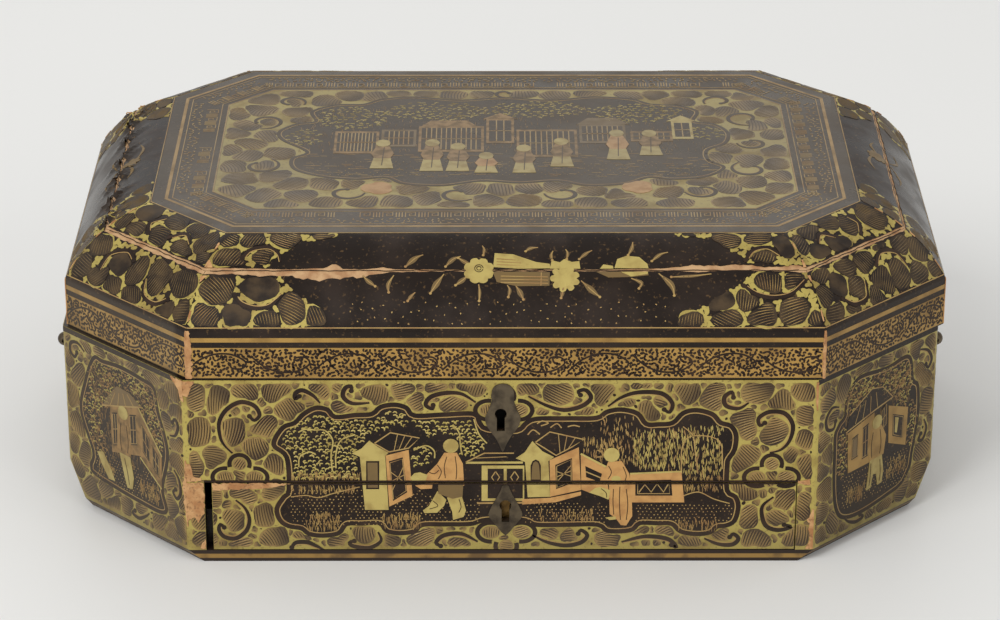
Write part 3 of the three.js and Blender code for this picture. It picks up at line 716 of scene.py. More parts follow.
def leaves(rng, room, paints, spacing=11.6, gap=0.5, largest=9, pitch=1.08, top=LEAF_TOP, under=0.0,
           kind="leaf", gilded_share=0.75, small=True, veins="light"):
    """Fills the free room of a face with hatched leaf pads, then its gaps with small ones. With under, gold
    shows on one side of each and in the gaps."""
    for middle, reaches in leaf_rims(rng, room, spacing, gap, largest):
        outline = rim_outline(middle, reaches)
        turn = rng.uniform(0, 2 * math.pi)
        depth = rng.uniform(0.2, 0.5)
        shades = [min(1.0, max(0.0, 0.5 + depth * math.cos(2 * math.pi * k / RIM_POINTS - turn) * 1.1))
                  for k in range(RIM_POINTS)]
        lift = rng.uniform(0, 0.02)
        if under:
            side = rng.uniform(0, 2 * math.pi)
            facing = [max(0.0, math.cos(2 * math.pi * k / RIM_POINTS - side)) for k in range(RIM_POINTS)]
            grown = rim_outline(middle, [r + under * (1.1 * f ** 2 - 0.12) for r, f in zip(reaches, facing)])
            pad(paints["ground"], grown, top - 0.06, middle_of(grown))
        pad(paints[kind], outline, top + lift, middle, 0.03, shades)
        dark = paints["dark"] if kind == "leaf" else None
        hatch(rng, dark, paints[veins], middle, reaches, pitch, top + lift, rng.random() < gilded_share)
        room.block(rim_outline(middle, reaches, gap * 0.8))
    if small:
        leaves(rng, room, paints, spacing * 0.4, gap * 0.9, spacing * 0.26, pitch, top,
               gilded_share=gilded_share, small=False)
    elif under:
        for middle, reaches in leaf_rims(rng, room, 3.4, -0.25, 1.9):
            arms = rng.uniform(0, 6)
            star = rim_outline(middle, [reach * (1 + 0.32 * math.sin(6 * math.pi * k / RIM_POINTS + arms))
                                        for k, reach in enumerate(reaches)])
            pad(paints["ground"], star, top - 0.05, middle_of(star))


def seeds(rng, room, paint, count):
    """Dark dots in the gaps between leaves."""
    open_i, open_j = np.nonzero(room.free)
    if not len(open_i):
        return
    for _ in range(count):
        k = rng.randrange(len(open_i))
        u, v = room.us[open_i[k]], room.vs[open_j[k]]
        radius = rng.uniform(0.35, 0.8)
        if all(room.open_at(u + radius * a, v + radius * b) for a, b in ((1, 0), (-1, 0), (0, 1), (0, -1))):
            dot(paint, u, v, radius, LEAF_TOP, rng, tall=rng.uniform(0.7, 1.5), turn=rng.uniform(0, 3))
            room.block_path([(u, v)], radius + 0.5)


def scroll(paints, marks, width, room, top=SCROLL_TOP):
    """A dark scroll with a light inner edge. It starts at its curled end, which has a bulb."""
    path = flow(marks)

    def swell(t):
        return width * (0.5 + 0.75 * math.sin(math.pi * min(1.0, 0.12 + 0.95 * t)) ** 0.8)

    band(paints["dark"], path, swell, top)
    dot(paints["dark"], *path[0], 1.05, top + 0.01, sides=9)
    reaches = [inner_side(path) * (swell(k / len(path)) / 2 + 0.22) for k in range(len(path))]
    band(paints["light"], beside(path, reaches)[2:], 0.36, top - 0.01)
    room.block_path(path, width / 2 + 0.75)


def inner_side(path):
    """1 where a path turns to the left, -1 where it turns to the right."""
    total = 0.0
    for a, b, c in zip(path, path[1:], path[2:]):
        total += (b[0] - a[0]) * (c[1] - b[1]) - (b[1] - a[1]) * (c[0] - b[0])
    return 1 if total > 0 else -1


def curl(centre, radius, start, sweep):
    """Marks of a spiral from its inner end outwards. Angles are in degrees."""
    marks = []
    for k in range(15):
        t = k / 14
        reach = radius * math.exp(-0.16 * abs(math.radians(sweep)) * (1 - t))
        marks.append(polar(centre, reach, math.radians(start + sweep * t)))
    return marks


def trefoil(rng, paints, centre, size, room, turn=90):
    """Three hatched petals in a thick dark outline, the outer two drawn out sideways."""
    for k in range(3):
        angle = math.radians(turn + 105 * (k - 1))
        stretch = 1 if k == 1 else 1.28

        def drawn_out(start, reach, a):
            return (start[0] + reach * stretch * math.cos(a), start[1] + reach * math.sin(a))

        middle = drawn_out(centre, 0.72 * size, angle)
        ring = [drawn_out(middle, 0.62 * size, angle + math.radians(s)) for s in range(-115, 116, 14)]
        band(paints["dark"], ring, 0.26 * size, SCROLL_TOP)
        reaches = [0.42 * size * stretch / math.hypot(math.cos(a), stretch * math.sin(a))
                   for a in [2 * math.pi * i / RIM_POINTS for i in range(RIM_POINTS)]]
        petal_top = SCROLL_TOP - 0.03
        pad(paints["leaf"], rim_outline(middle, reaches), petal_top, middle, 0.02, [0.8] * RIM_POINTS)
        hatch(rng, paints["dark"], paints["light"], middle, reaches, 0.95, petal_top)
        room.block_path(ring, 0.16 * size + 0.5)
        room.block(rim_outline(middle, reaches, 0.08 * size))


leaf_finish = Finish("leaf_lacquer", Metallic=0.05, Specular_IOR_Level=0.35)
tone = leaf_finish.node("ShaderNodeAttribute", {"attribute_name": "shade"}, out=2)
leaf_cloud = leaf_finish.noise(7, 3).over(0.35, 0.7)
leaf_finish.feed("Base Color", dust_sheen_and_shade(leaf_finish, leaf_finish.mix(
    leaf_finish.mix(colour(66, 50, 32), colour(152, 124, 72), tone.over(0.1, 0.95)),
    colour(98, 80, 52), leaf_cloud * 0.4)))
leaf_finish.feed("Roughness", 0.4 + leaf_cloud * 0.15)


def clouded(name, first, second, cloud, rough, **settings):
    """A finish that wanders between two colours in clouds, given by their size, detail and limits."""
    finish = Finish(name, **settings)
    size, detail, low, high = cloud
    share = finish.noise(size, detail).over(low, high)
    finish.feed("Base Color", dust_sheen_and_shade(finish, finish.mix(colour(*first), colour(*second), share)))
    finish.feed("Roughness", rough + share * 0.15)
    return finish


black_finish = Finish("black_lacquer", Metallic=0.0, Specular_IOR_Level=0.18)
black_cloud = black_finish.noise(20, 4).over(0.38, 0.72)
black_specks = black_finish.noise(1.5, 2).over(0.6, 0.74)
black_finish.feed("Base Color", dust_sheen_and_shade(black_finish, black_finish.mix(black_finish.mix(
    colour(31, 23, 18), colour(46, 35, 28), black_cloud), colour(140, 108, 66), black_specks * 0.3)))
black_finish.feed("Roughness", 0.24 + black_cloud * 0.2)
black_finish.bump(black_finish.noise(1.8, 3), 0.08, 0.3)

chip_finish = Finish("bare_undercoat", Metallic=0.0)
chip_cloud = chip_finish.noise(6, 4).over(0.36, 0.7)
chip_grit = chip_finish.noise(1.2, 3).over(0.52, 0.72)
chip_finish.feed("Base Color", chip_finish.mix(chip_finish.mix(
    colour(200, 155, 104), colour(164, 114, 70), chip_cloud), colour(116, 82, 52), chip_grit * 0.7))
chip_finish.feed("Roughness", 0.75 + chip_cloud * 0.15)
chip_finish.bump(chip_finish.noise(1.6, 4), 0.3, 0.6)

THIN_GOLD = {"Metallic": 0.2, "Specular_IOR_Level": 0.35}
FINISHES = {
    "ground": gilded,
    "leaf": leaf_finish,
    "dark": clouded("dark_brush_line", (38, 26, 19), (56, 40, 29), (12, 3, 0.4, 0.7), 0.33,
                    Metallic=0.0, Specular_IOR_Level=0.18),
    "light": clouded("gold_brush_line", (176, 146, 88), (158, 122, 76), (8, 3, 0.38, 0.7), 0.4, **THIN_GOLD),
    "black": black_finish,
    "pale": clouded("pale_gold", (190, 170, 98), (164, 141, 78), (6, 3, 0.4, 0.7), 0.36, Metallic=0.3),
    "red": clouded("red_gold", (200, 152, 90), (178, 130, 76), (5, 3, 0.4, 0.7), 0.38, Metallic=0.3),
    "night": clouded("night_leaf", (38, 29, 22), (76, 60, 40), (9, 3, 0.38, 0.7), 0.36,
                     Metallic=0.0, Specular_IOR_Level=0.2),
    "border": clouded("border_gold", (176, 138, 70), (146, 112, 56), (10, 3, 0.38, 0.7), 0.38, Metallic=0.35),
    "faded": clouded("faded_gold", (158, 122, 70), (112, 88, 54), (4, 4, 0.36, 0.68), 0.42, **THIN_GOLD),
    "chip": chip_finish,
}


def palette():
    return {key: Paint() for key in FINISHES}


def lay_all(name, body, *drawings):
    """Sets drawings on their faces, one piece for each paint. Each is its paints, its face and its window."""
    for key, finish in FINISHES.items():
        points, faces, shades = [], [], []
        for paints, place, window in drawings:
            for stroke_points, stroke_faces, stroke_shades in within(paints[key].strokes, window):
                first = len(points)
                points += [place(*p) for p in stroke_points]
                faces += [tuple(first + i for i in face) for face in stroke_faces]
                shades += stroke_shades
        if not points:
            continue
        piece_name = f"{name}_{finish.material.name}"
        mesh = bpy.data.meshes.new(piece_name)
        mesh.from_pydata(points, [], faces)
        mesh.attributes.new("shade", "FLOAT", "POINT").data.foreach_set("value", shades)
        mesh.materials.append(finish.material)
        made = bpy.data.objects.new(piece_name, mesh)
        scene.collection.objects.link(made)
        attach(made, body)


# Front of the case and of the drawer
# The garden scene sits in a lobed black frame that runs over both, so the whole front was painted with the
# drawer shut. It is drawn once here and then cut at the drawer's edges.
DRAWER_LEFT = -117
DRAWER_RIGHT = 119.6
DRAWER_BOTTOM = 5.5
DRAWER_TOP = 35.65
DRAWER_KEY_X = 1.9
FRONT_FRAME = [
    (-91.4, 53), (-87.7, 60.5), (-82.7, 62.8), (-79.2, 66.6), (-74.2, 69.4), (-69.4, 68.6), (-66.5, 65.4),
    (-58.6, 66.2), (-51.7, 66.7), (-48.2, 69.8), (-42.8, 70.8), (-37.9, 69.5), (-34.6, 66), (-23.2, 66.4),
    (-10.8, 66.7), (-8.5, 62.8), (-5.5, 60), (6.3, 59.3), (10.2, 62.6), (14.4, 64.5), (26.9, 64.7),
    (38.4, 64.9), (42.6, 67.6), (48.4, 68.6), (54.9, 66.8), (58.4, 62.2), (63.3, 62), (69, 62.7),
    (73.1, 67), (78.4, 68.3), (84.9, 66.5), (88.3, 62.7), (92.4, 61.3), (94.6, 57.3), (94.2, 50.7),
    (91.9, 46.5), (91.4, 43.5), (91.7, 32.2), (95.1, 29.4), (96.4, 24.9), (95, 18.5), (91.6, 16.3),
    (87.9, 15.8), (85.2, 13.2), (79.7, 12.4), (73.2, 13.6), (69.4, 17.1), (63.1, 17.4), (56.5, 17.4),
    (53.7, 14.6), (49.1, 13.7), (43.2, 14), (39.4, 16.7), (27.3, 16.7), (14.6, 16.7), (9.2, 18.9),
    (-5.6, 19), (-12.3, 17.1), (-22.5, 16.9), (-31.9, 16.7), (-35.1, 13.8), (-41.2, 12.9), (-46.5, 14),
    (-49.2, 17.4), (-56.4, 17.3), (-62.7, 17.1), (-65.9, 13), (-72.3, 11.8), (-78, 12.6), (-81, 15.1),
    (-86.3, 16.2), (-89.7, 18.9), (-90.9, 24.1), (-87.9, 29.4), (-85.8, 32.5), (-86.3, 47.3),
]
FRONT_SCROLLS = [
    [(-100.8, 65.7), (-98.9, 63.9), (-96.7, 66.3), (-98.8, 70.4), (-104.2, 72), (-109.8, 68.8), (-113, 63.2),
     (-112.9, 56.9), (-111.3, 52.8), (-108.1, 49.2)],
    [(-112.5, 15.6), (-114, 17), (-114.6, 14.5), (-112.6, 11.4), (-107.9, 10.6), (-103.6, 14),
     (-102.1, 19.2), (-103.7, 24.3), (-107.4, 28)],
    [(-80.6, 74.6), (-82.3, 73.4), (-82.1, 75.9), (-79.3, 77.2), (-75.1, 74.9), (-72.4, 71.6)],
    [(-85.2, 6.4), (-83.5, 8.6), (-78.9, 8.8), (-75, 7), (-72, 5.2)],
    [(-59.8, 76.9), (-59.8, 79), (-62.2, 78.2), (-63.1, 74.4), (-59.5, 71.4), (-52.6, 71.6)],
    [(-27.1, 70.6), (-27.3, 68.9), (-30.1, 70.7), (-28.2, 74.1), (-22.7, 75.9), (-15.8, 75.6), (-10, 71.8)],
    [(-59.7, 9.3), (-61.6, 8.6), (-60.1, 7), (-53.6, 6.2), (-48.8, 9.4), (-49.9, 13.4)],
    [(-24.5, 7), (-26.4, 8.6), (-23.1, 11.9), (-16, 12.6), (-9.4, 9)],
    [(31.9, 75), (31, 76.6), (34, 77.2), (36.1, 73.7), (32.2, 70), (25.3, 68.4), (18.4, 70.4), (11, 74.5)],
    [(65.5, 68.6), (67.7, 67.4), (68.7, 71.4), (64.3, 75.7), (55.1, 76.2), (48.3, 74), (43, 70)],
    [(31.5, 12.6), (32.7, 14.2), (35.2, 11.9), (32.7, 8.6), (26.2, 7.2), (18.7, 8.8), (13, 11.9)],
    [(69.5, 7.4), (71.7, 6.4), (67.9, 10.2), (58.5, 11.3), (49.2, 8.8)],
    [(93.1, 73.9), (92.4, 76.3), (89.5, 74), (90.3, 70.2), (95.4, 69), (99.3, 71.6)],
    [(106, 62.6), (104.1, 61.4), (103.5, 64.7), (107.8, 67.5), (113.9, 66.8), (117.3, 61.6), (116.3, 54.9),
     (113, 50.7), (108.4, 49.2)],
    [(115.2, 16.6), (118, 15.6), (112.8, 14.2), (108, 16), (106.1, 20.7), (106.3, 25.4), (110.5, 29.3)],
    [(93.2, 11), (94.8, 12.4), (96.8, 10.2), (94.3, 7.6), (88.7, 7.8), (82.9, 10.4)],
]


def garden_frame(paints, frame_marks, room, width):
    """A black field in a thick dark line with a thin light line inside it."""
    outline = flow(frame_marks, 1.6, closed=True)
    plate(paints["black"], outline, FIELD_TOP)
    band(paints["dark"], outline, width, FRAME_TOP, closed=True)
    reaches = [inner_side(outline) * (width / 2 + 0.3)] * len(outline)
    band(paints["light"], beside(outline, reaches, True), 0.42, FRAME_TOP - 0.01, closed=True)
    room.block(outline)
    room.block_path(outline, width / 2 + 0.45)


def grass(rng, paint, left, right, low, high, count, top=DAB_TOP, tall=2.4):
    """Short upright strokes."""
    for _ in range(count):
        u, v = rng.uniform(left, right), rng.uniform(low, high)
        lean = rng.uniform(-0.5, 0.5)
        height = tall * rng.uniform(0.6, 1.2)
        vein(paint, [(u, v), (u + lean * 0.4, v + height * 0.6), (u + lean * 1.3, v + height)],
             rng.uniform(0.35, 0.6), top, VEIN_SINK)


def room_round(outline):
    us, vs = [p[0] for p in outline], [p[1] for p in outline]
    return Room(min(us), max(us), min(vs), max(vs))


def foliage(rng, paints, outline, pitch=2.0, size=0.82):
    """Curved dabs, evenly spread over a crown, each one clear of the next."""
    crown = room_round(outline)
    crown.keep_in(outline)
    row = 0
    v = crown.start[1]
    while v < crown.vs[-1]:
        u = crown.start[0] + (row % 2) * pitch / 2
        while u < crown.us[-1]:
            middle = (u + rng.uniform(-0.3, 0.3) * pitch, v + rng.uniform(-0.3, 0.3) * pitch)
            if crown.open_at(*middle) and rng.random() < 0.93:
                radius = size * rng.uniform(0.75, 1.2)
                turn = rng.uniform(-0.8, 1.0)
                dab = [polar(middle, radius, turn + a) for a in (0.2, 1.1, 2.0, 2.9)]
                paint = paints["ground"] if rng.random() < 0.6 else paints["pale"]
                vein(paint, dab, size * rng.uniform(0.9, 1.35), DAB_TOP + 0.02, VEIN_SINK)
            u += pitch
        v += pitch * 0.8
        row += 1


def oval(middle, reach_u, reach_v):
    angles = [2 * math.pi * k / 24 for k in range(24)]
    return [(middle[0] + reach_u * math.cos(a), middle[1] + reach_v * math.sin(a)) for a in angles]


def ground_dots(rng, paint, left, right, low, high, pitch=1.75):
    """Rows of fine dots on the dark ground."""
    row = 0
    v = low
    while v < high:
        u = left + (row % 2) * pitch / 2
        while u < right:
            if rng.random() < 0.82:
                middle = (u + rng.uniform(-0.25, 0.25), v + rng.uniform(-0.2, 0.2))
                dot(paint, *middle, rng.uniform(0.2, 0.34), 0.38, sides=5)
            u += pitch
        v += pitch * 0.8
        row += 1


def willow(rng, paint, left, right, low, high, count):
    """Hanging dabs in uneven columns."""
    for _ in range(count):
        u, v = rng.uniform(left, right), rng.uniform(low, high)
        length = rng.uniform(1.3, 2.8)
        lean = rng.uniform(-0.35, 0.35)
        vein(paint, [(u, v), (u + lean * 0.3, v - length / 2), (u + lean, v - length)],
             rng.uniform(0.4, 0.75), DAB_TOP, VEIN_SINK)


def framed_wall(seed, half, field, frame_marks, scrolls, frame_width=1.9, scroll_width=1.5):
    """Paints, chance and free room of a wall of the case, with its garden frame and scrolls laid."""
    paints = palette()
    room = Room(-half, half, 5, 82)
    room.keep_in(field)
    garden_frame(paints, frame_marks, room, frame_width)
    for marks in scrolls:
        scroll(paints, marks, scroll_width, room)
    return paints, random.Random(seed), room


LONG_FIELD = rectangle(-125.6, 125.6, 6.6, 80.4)
front, front_rng, front_room = framed_wall(11, 127, LONG_FIELD, FRONT_FRAME, FRONT_SCROLLS)
for place, size, turn in (((-105.4, 39.6), 6.6, 90), ((109.4, 39.4), 6.6, 90), ((1.2, 69.6), 6.8, 90),
                          ((2.2, 12), 7, -90)):
    trefoil(front_rng, front, place, size, front_room, turn)
for escutcheon in ((-4.4, 6, 62, 80.6), (-2.1, 5.9, 12, 20)):
    front_room.block(rectangle(*escutcheon))
leaves(front_rng, front_room, front)
seeds(front_rng, front_room, front["dark"], 260)

# Garden on the front
# Two pavilions with dark hatched roofs, a low gallery between them, a fence and a screen wall, and two
# robed figures with plain blank heads, among dabbed trees and grass.
LOW = 0.38
MID = 0.41
FOLD_TOP = 0.5


def lerp(a, b, share):
    return (a[0] + (b[0] - a[0]) * share, a[1] + (b[1] - a[1]) * share)


def shrink(outline, amount):
    middle = middle_of(outline)
    return [lerp(middle, p, 1 - amount / max(0.1, math.dist(p, middle))) for p in outline]


def moved(shape, across, up=0):
    return [(u + across, v + up) for u, v in shape]


def rails(paint, first, last, shares, width, top):
    """Lines between two edges, each edge given by its two ends."""
    for share in shares:
        band(paint, [lerp(*first, share), lerp(*last, share)], width, top)


def pavilion(paints, gable, side, roof, window, panel):
    """Gable wall, side wall and roof seen from a corner, with one opening and one lattice panel."""
    plate(paints["black"], roof, LOW)
    plate(paints["red"], side, MID)
    plate(paints["pale"], gable, MID + 0.02)
    line(paints["light"], roof + roof[:1], 0.5)
    rails(paints["light"], roof[1:3], (roof[-1], roof[3]), QUARTERS, 0.3, LINE_TOP - 0.03)
    if window:
        plate(paints["dark"], window, MID + 0.05)
        (left, low), (right, high) = window[0], window[2]
        plate(paints["leaf"], rectangle(left + 0.7, right - 0.7, low + 0.7, high - 0.7), MID + 0.08)
    plate(paints["black"], panel, MID + 0.03)
    inset = shrink(panel, 0.8)
    line(paints["light"], inset + inset[:1], 0.35)
    for share in QUARTERS:
        slat = [lerp(inset[0], inset[3], share), lerp(inset[1], inset[2], 1 - share)]
        line(paints["light"], slat, 0.35, LINE_TOP - 0.02)


def head(paints, u, v, radius=3.1, top=0.52):
    """A plain blank head."""
    dot(paints["pale"], u, v, radius, top, sides=16)


def folds(paints, rows, top=FOLD_TOP):
    """Thin dark lines in a robe."""
    for row in rows:
        line(paints["dark"], flow(row), 0.3, top)


for patch in ((-85.1, -47.3, 17, 33), (-43.4, -31.4, 18, 33), (-30.5, -8.6, 18.5, 30), (10.3, 43.1, 18, 27),
              (55.1, 93.9, 18.5, 26)):
    ground_dots(front_rng, front["light"], *patch)
line(front["light"],
     flow([(-85, 29.5), (-79, 30.2), (-73.8, 29.2), (-68.1, 31), (-61.1, 33), (-57.1, 34)]), 0.4)
line(front["light"], flow([(74.1, 30), (80.1, 31.6), (86.3, 28.5), (92.8, 26.4)]), 0.4)
for tuft in ((-83.8, -57.1, 36, 39, 95), (-85, -59.2, 30.5, 33.5, 70), (-79.3, -65.4, 13.4, 20.5, 95),
             (-48.4, -32.5, 14.2, 20.5, 110), (15.3, 38.2, 17.6, 22, 70), (72.1, 88.1, 13.5, 17.5, 60),
             (73.7, 89.6, 31, 37.5, 90)):
    grass(front_rng, front["light"], *tuft)
foliage(front_rng, front, [
    (-85.5, 59.6), (-81, 62.4), (-76.4, 66), (-69.6, 66), (-65, 63.6), (-52, 64), (-47.4, 66.4), (-42, 68),
    (-37.4, 65), (-37.6, 60), (-45, 60.4), (-53, 57), (-58, 51.5), (-57.4, 37.6), (-84, 37.6), (-83.8, 48),
    (-88, 53)])
foliage(front_rng, front, [
    (-36, 64), (-12.4, 64.4), (-9.4, 59), (-5.6, 53), (-10, 48), (-16, 48), (-16.6, 54), (-17, 57), (-24, 57),
    (-30, 55.8)])
foliage(front_rng, front, [(-36, 52), (-29, 52.4), (-27.4, 47), (-29.6, 43), (-35.6, 42.6)])
for trunk in ([(-74.6, 59.6), (-70.6, 59.4), (-67.6, 55), (-68.4, 48), (-68, 41.4)],
              [(-74.6, 59.6), (-78.4, 60), (-81.4, 58.6)],
              [(-66.5, 42.5), (-66.4, 49), (-64.3, 55), (-58.5, 57.6)],
              [(-81.5, 43), (-81, 47.5), (-77.2, 49.8), (-74.5, 48.6)],
              [(-35.1, 50.6), (-30.2, 52.6), (-26.9, 50.4), (-26.7, 47)],
              [(-19.3, 62), (-16.8, 58.4), (-16.2, 52), (-15.6, 49)],
              [(-10.8, 64.4), (-8.9, 58), (-5.6, 53.6)]):
    line(front["pale"], flow(trunk), 0.55, 0.5)
for key, hanging in (("light", (40.3, 53.6, 46, 66, 110)), ("pale", (53.6, 71.4, 43.5, 60, 210)),
                     ("pale", (71.4, 89.2, 40, 62, 230)), ("light", (53.6, 89.2, 41, 61, 120)),
                     ("light", (32.9, 43.8, 47.5, 57, 50))):
    willow(front_rng, front[key], *hanging)
for branch in ([(73.1, 40), (72.8, 50), (74.7, 55.6), (79.2, 57), (85.7, 56), (88.9, 52.4), (89.4, 42)],
               [(79.6, 40), (78.3, 50), (77.2, 57), (73.2, 61)]):
    line(front["light"], flow(branch), 0.42, 0.44)
for cloud in ([(14.6, 62.4), (16.7, 63.6), (19.1, 62.6), (16.1, 61.4)],
              [(19.9, 60.6), (22.6, 62.4), (24.4, 60.4)], [(26.9, 61), (29.3, 61.6), (31.7, 61)],
              [(10.8, 57.4), (13, 59.6), (15.7, 57.6)]):
    line(front["light"], flow(cloud), 0.5, 0.44)

LEFT_PAVILION = (
    [(-52.9, 54.9), (-56.1, 51.3), (-60.1, 49.1), (-56.8, 47.6), (-55.1, 23.6), (-45.5, 23.6), (-46.6, 48),
     (-45.2, 49.4), (-49.5, 52)],
    [(-46.4, 48.1), (-37.1, 50.7), (-35.7, 30), (-45.2, 25.1)],
    [(-50.9, 53.6), (-44.4, 58.4), (-32.7, 56), (-37.1, 51.5), (-45, 49.8)],
    [(-54.5, 33), (-49.2, 33), (-49, 45.7), (-54.3, 45.7)],
    [(-45.1, 45.6), (-39.5, 47.4), (-37.9, 31.6), (-43.7, 27.6)],
)
pavilion(front, *LEFT_PAVILION)
RIGHT_PAVILION = (
    [(12.7, 54.6), (9.7, 49.6), (6, 46.9), (9.8, 45.2), (10.9, 29.3), (20, 29.5), (19.2, 45.6), (21.5, 47.4),
     (16.8, 50)],
    [(19.7, 46), (31.4, 51.8), (32.5, 32.6), (20, 29.5)],
    [(13.9, 54), (19.7, 58.7), (33.5, 55.3), (28.7, 52), (22.3, 48.2)],
    [],
    [(22, 43.9), (28.7, 47), (29, 35.7), (22.4, 33)],
)
pavilion(front, *RIGHT_PAVILION)
door = [(12.1, 36.6), (16.2, 36.6), (16.2, 43.6), (15.4, 45.6), (14.1, 46.4), (12.8, 45.6), (12, 43.6)]
plate(front["dark"], door, MID + 0.05)
plate(front["leaf"], shrink(door, 0.8), MID + 0.08)
plate(front["red"], [(8.7, 28.4), (20, 29), (32.5, 31.8), (32.5, 30.2), (22.2, 27), (8.7, 26)], MID - 0.01)
plate(front["black"], [(-13.6, 45.4), (-6.6, 49.2), (5.3, 49.2), (9.1, 45.6)], LOW + 0.01)
line(front["light"], [(-14.1, 45.2), (-6.6, 49.2), (5.3, 49.2)], 0.5)
line(front["pale"], [(-14.1, 44.9), (8.9, 45)], 0.9)
line(front["light"], [(-10.1, 47), (2.3, 47.6)], 0.3)
plate(front["pale"], [(-7.8, 27.6), (9.5, 27.6), (9.5, 43.6), (-7.7, 43.6)], MID - 0.02)
for left in (-5.3, 2.4):
    plate(front["black"], rectangle(left, left + 6.5, 28.8, 42.2), MID + 0.01)
    line(front["light"], [(left + 3.2, 41), (left + 4.8, 38.4), (left + 3.2, 35.6), (left + 1.6, 38.4),
                          (left + 3.2, 41)], 0.45)
line(front["light"], [(-9.6, 26.6), (9.3, 26.8)], 0.7, MID)
plate(front["red"], [(32.2, 48.9), (42.2, 43.2), (44.1, 28.8), (35.8, 31.4), (32.6, 32.8)], MID)
line(front["pale"], [(32.2, 48.9), (42.5, 43)], 0.8)
fence_panel = [(34.1, 43.4), (40.9, 39.9), (40, 36.2), (34.5, 38.4)]
plate(front["black"], fence_panel, MID + 0.03)
line(front["light"],
     [lerp(fence_panel[0], fence_panel[3], 0.5), lerp(fence_panel[1], fence_panel[2], 0.5)], 0.5)
plate(front["red"], [(52.4, 26.9), (74.4, 26.9), (73, 40.7), (52.2, 39.7)], MID)
line(front["pale"], [(52.2, 39.9), (73.1, 40.9)], 0.7)
screen_panel = [(54.5, 30), (69.5, 30), (68.9, 37.2), (54.4, 36.8)]
plate(front["black"], screen_panel, MID + 0.03)
inner_panel = [(55.4, 30.9), (68.4, 30.9), (68, 36.3), (55.4, 35.9)]
line(front["light"], inner_panel + inner_panel[:1], 0.35)
line(front["light"], [(55.9, 31.5), (58.3, 35), (60.9, 31.6), (63.2, 35.4), (65.9, 31.6), (67.8, 35.4)], 0.55)


def walker(paints, across=0):
    """A robed figure walking to the left, with one arm out."""
    red, pale = paints["red"], paints["pale"]
    plate(red, moved([(-22.8, 49.4), (-17.7, 49.4), (-15.3, 44.5), (-14.8, 34.6), (-30.4, 35.4),
                      (-30.9, 38.6), (-25.6, 44.5)], across), MID + 0.02)
    plate(pale, moved([(-36.6, 38.2), (-34.9, 40.2), (-32.6, 40.6), (-29.5, 39.4), (-30.3, 36.8),
                       (-35.9, 36.6)], across), MID + 0.04)
    plate(red, moved([(-34.7, 34.7), (-27.6, 35.4), (-27.8, 33.3), (-32.4, 33)], across), MID + 0.03)
    plate(paints["leaf"], moved([(-25.3, 36), (-15.1, 36), (-15.5, 29.6), (-19.5, 28.6), (-25.3, 31)],
                                across), MID + 0.04)
    plate(pale, moved([(-25.7, 32.1), (-22.1, 28.2), (-23, 25.4), (-25.8, 22.3), (-31, 22.1), (-31.6, 23.3),
                       (-29.1, 25.4)], across), MID + 0.03)
    plate(pale, moved([(-21.8, 29.2), (-15.8, 30), (-14.1, 23.3), (-15.1, 20.4), (-19.4, 19), (-19.7, 22.6)],
                      across), MID + 0.03)
    folds(paints, [moved(fold, across) for fold in (
        [(-21.8, 47.6), (-22.8, 43), (-22.4, 38)], [(-18.4, 47.8), (-17.8, 42), (-18.1, 37.4)],
        [(-25.7, 44), (-24, 41), (-25.2, 37.6)], [(-28.9, 40.6), (-26.8, 40), (-25, 41.6)],
        [(-16.9, 28.4), (-16.1, 25), (-17.1, 22.4)], [(-27.6, 27.8), (-25.5, 25.4), (-28.9, 24)])])
    head(paints, across - 20.1, 52.5, 3.15, 0.5)


walker(front)
plate(front["red"], [(43.3, 45.2), (48.8, 45.6), (51.9, 39.9), (53, 32.1), (53.4, 20.7), (51, 16.4),
                     (48.8, 16.6), (46.7, 19.7), (44.2, 21.7), (43.8, 34.7), (40.7, 37.3)], MID + 0.02)
plate(front["pale"], [(35.8, 31.4), (38.1, 33.4), (40.4, 34), (44.4, 32.4), (43.7, 28.2), (40.7, 29.6)],
      MID + 0.04)
dot(front["pale"], 46.6, 37.6, 2.0, MID + 0.05, sides=9, tall=0.7)
plate(front["pale"], [(42.4, 20), (46.6, 20.6), (46.8, 19.2), (44.2, 18.9)], MID + 0.03)
folds(front, [
    [(45.6, 33), (45.5, 27), (45.9, 21.4)], [(48.2, 34), (48.1, 27), (48.6, 19)],
    [(50.8, 33), (51.5, 26), (51, 19)], [(49.4, 43), (50.7, 39), (49.9, 36)],
    [(43.5, 43.4), (44.7, 40.6), (43.4, 37.6)], [(40.6, 33.2), (42.6, 31.4), (42.9, 29.2)]])
head(front, 44.7, 48.4, 3.2, 0.5)
for spray in ([(41.2, 51), (40.2, 53)], [(42.4, 51.8), (42.2, 54)], [(44.2, 52.2), (44.7, 54.4)],
              [(40.6, 49.6), (38.9, 50.6)], [(40.7, 47.6), (38.7, 47.4)], [(47.3, 51), (48.9, 52.4)]):
    line(front["light"], spray, 0.5)


def round_keyhole(u0, u1, v0, v1, key):
    """The windows that are left of a window round a keyhole's cut."""
    left, right, low, high = key
    return [(u0, left, v0, v1), (right, u1, v0, v1), (left, right, v0, low), (left, right, high, v1)]


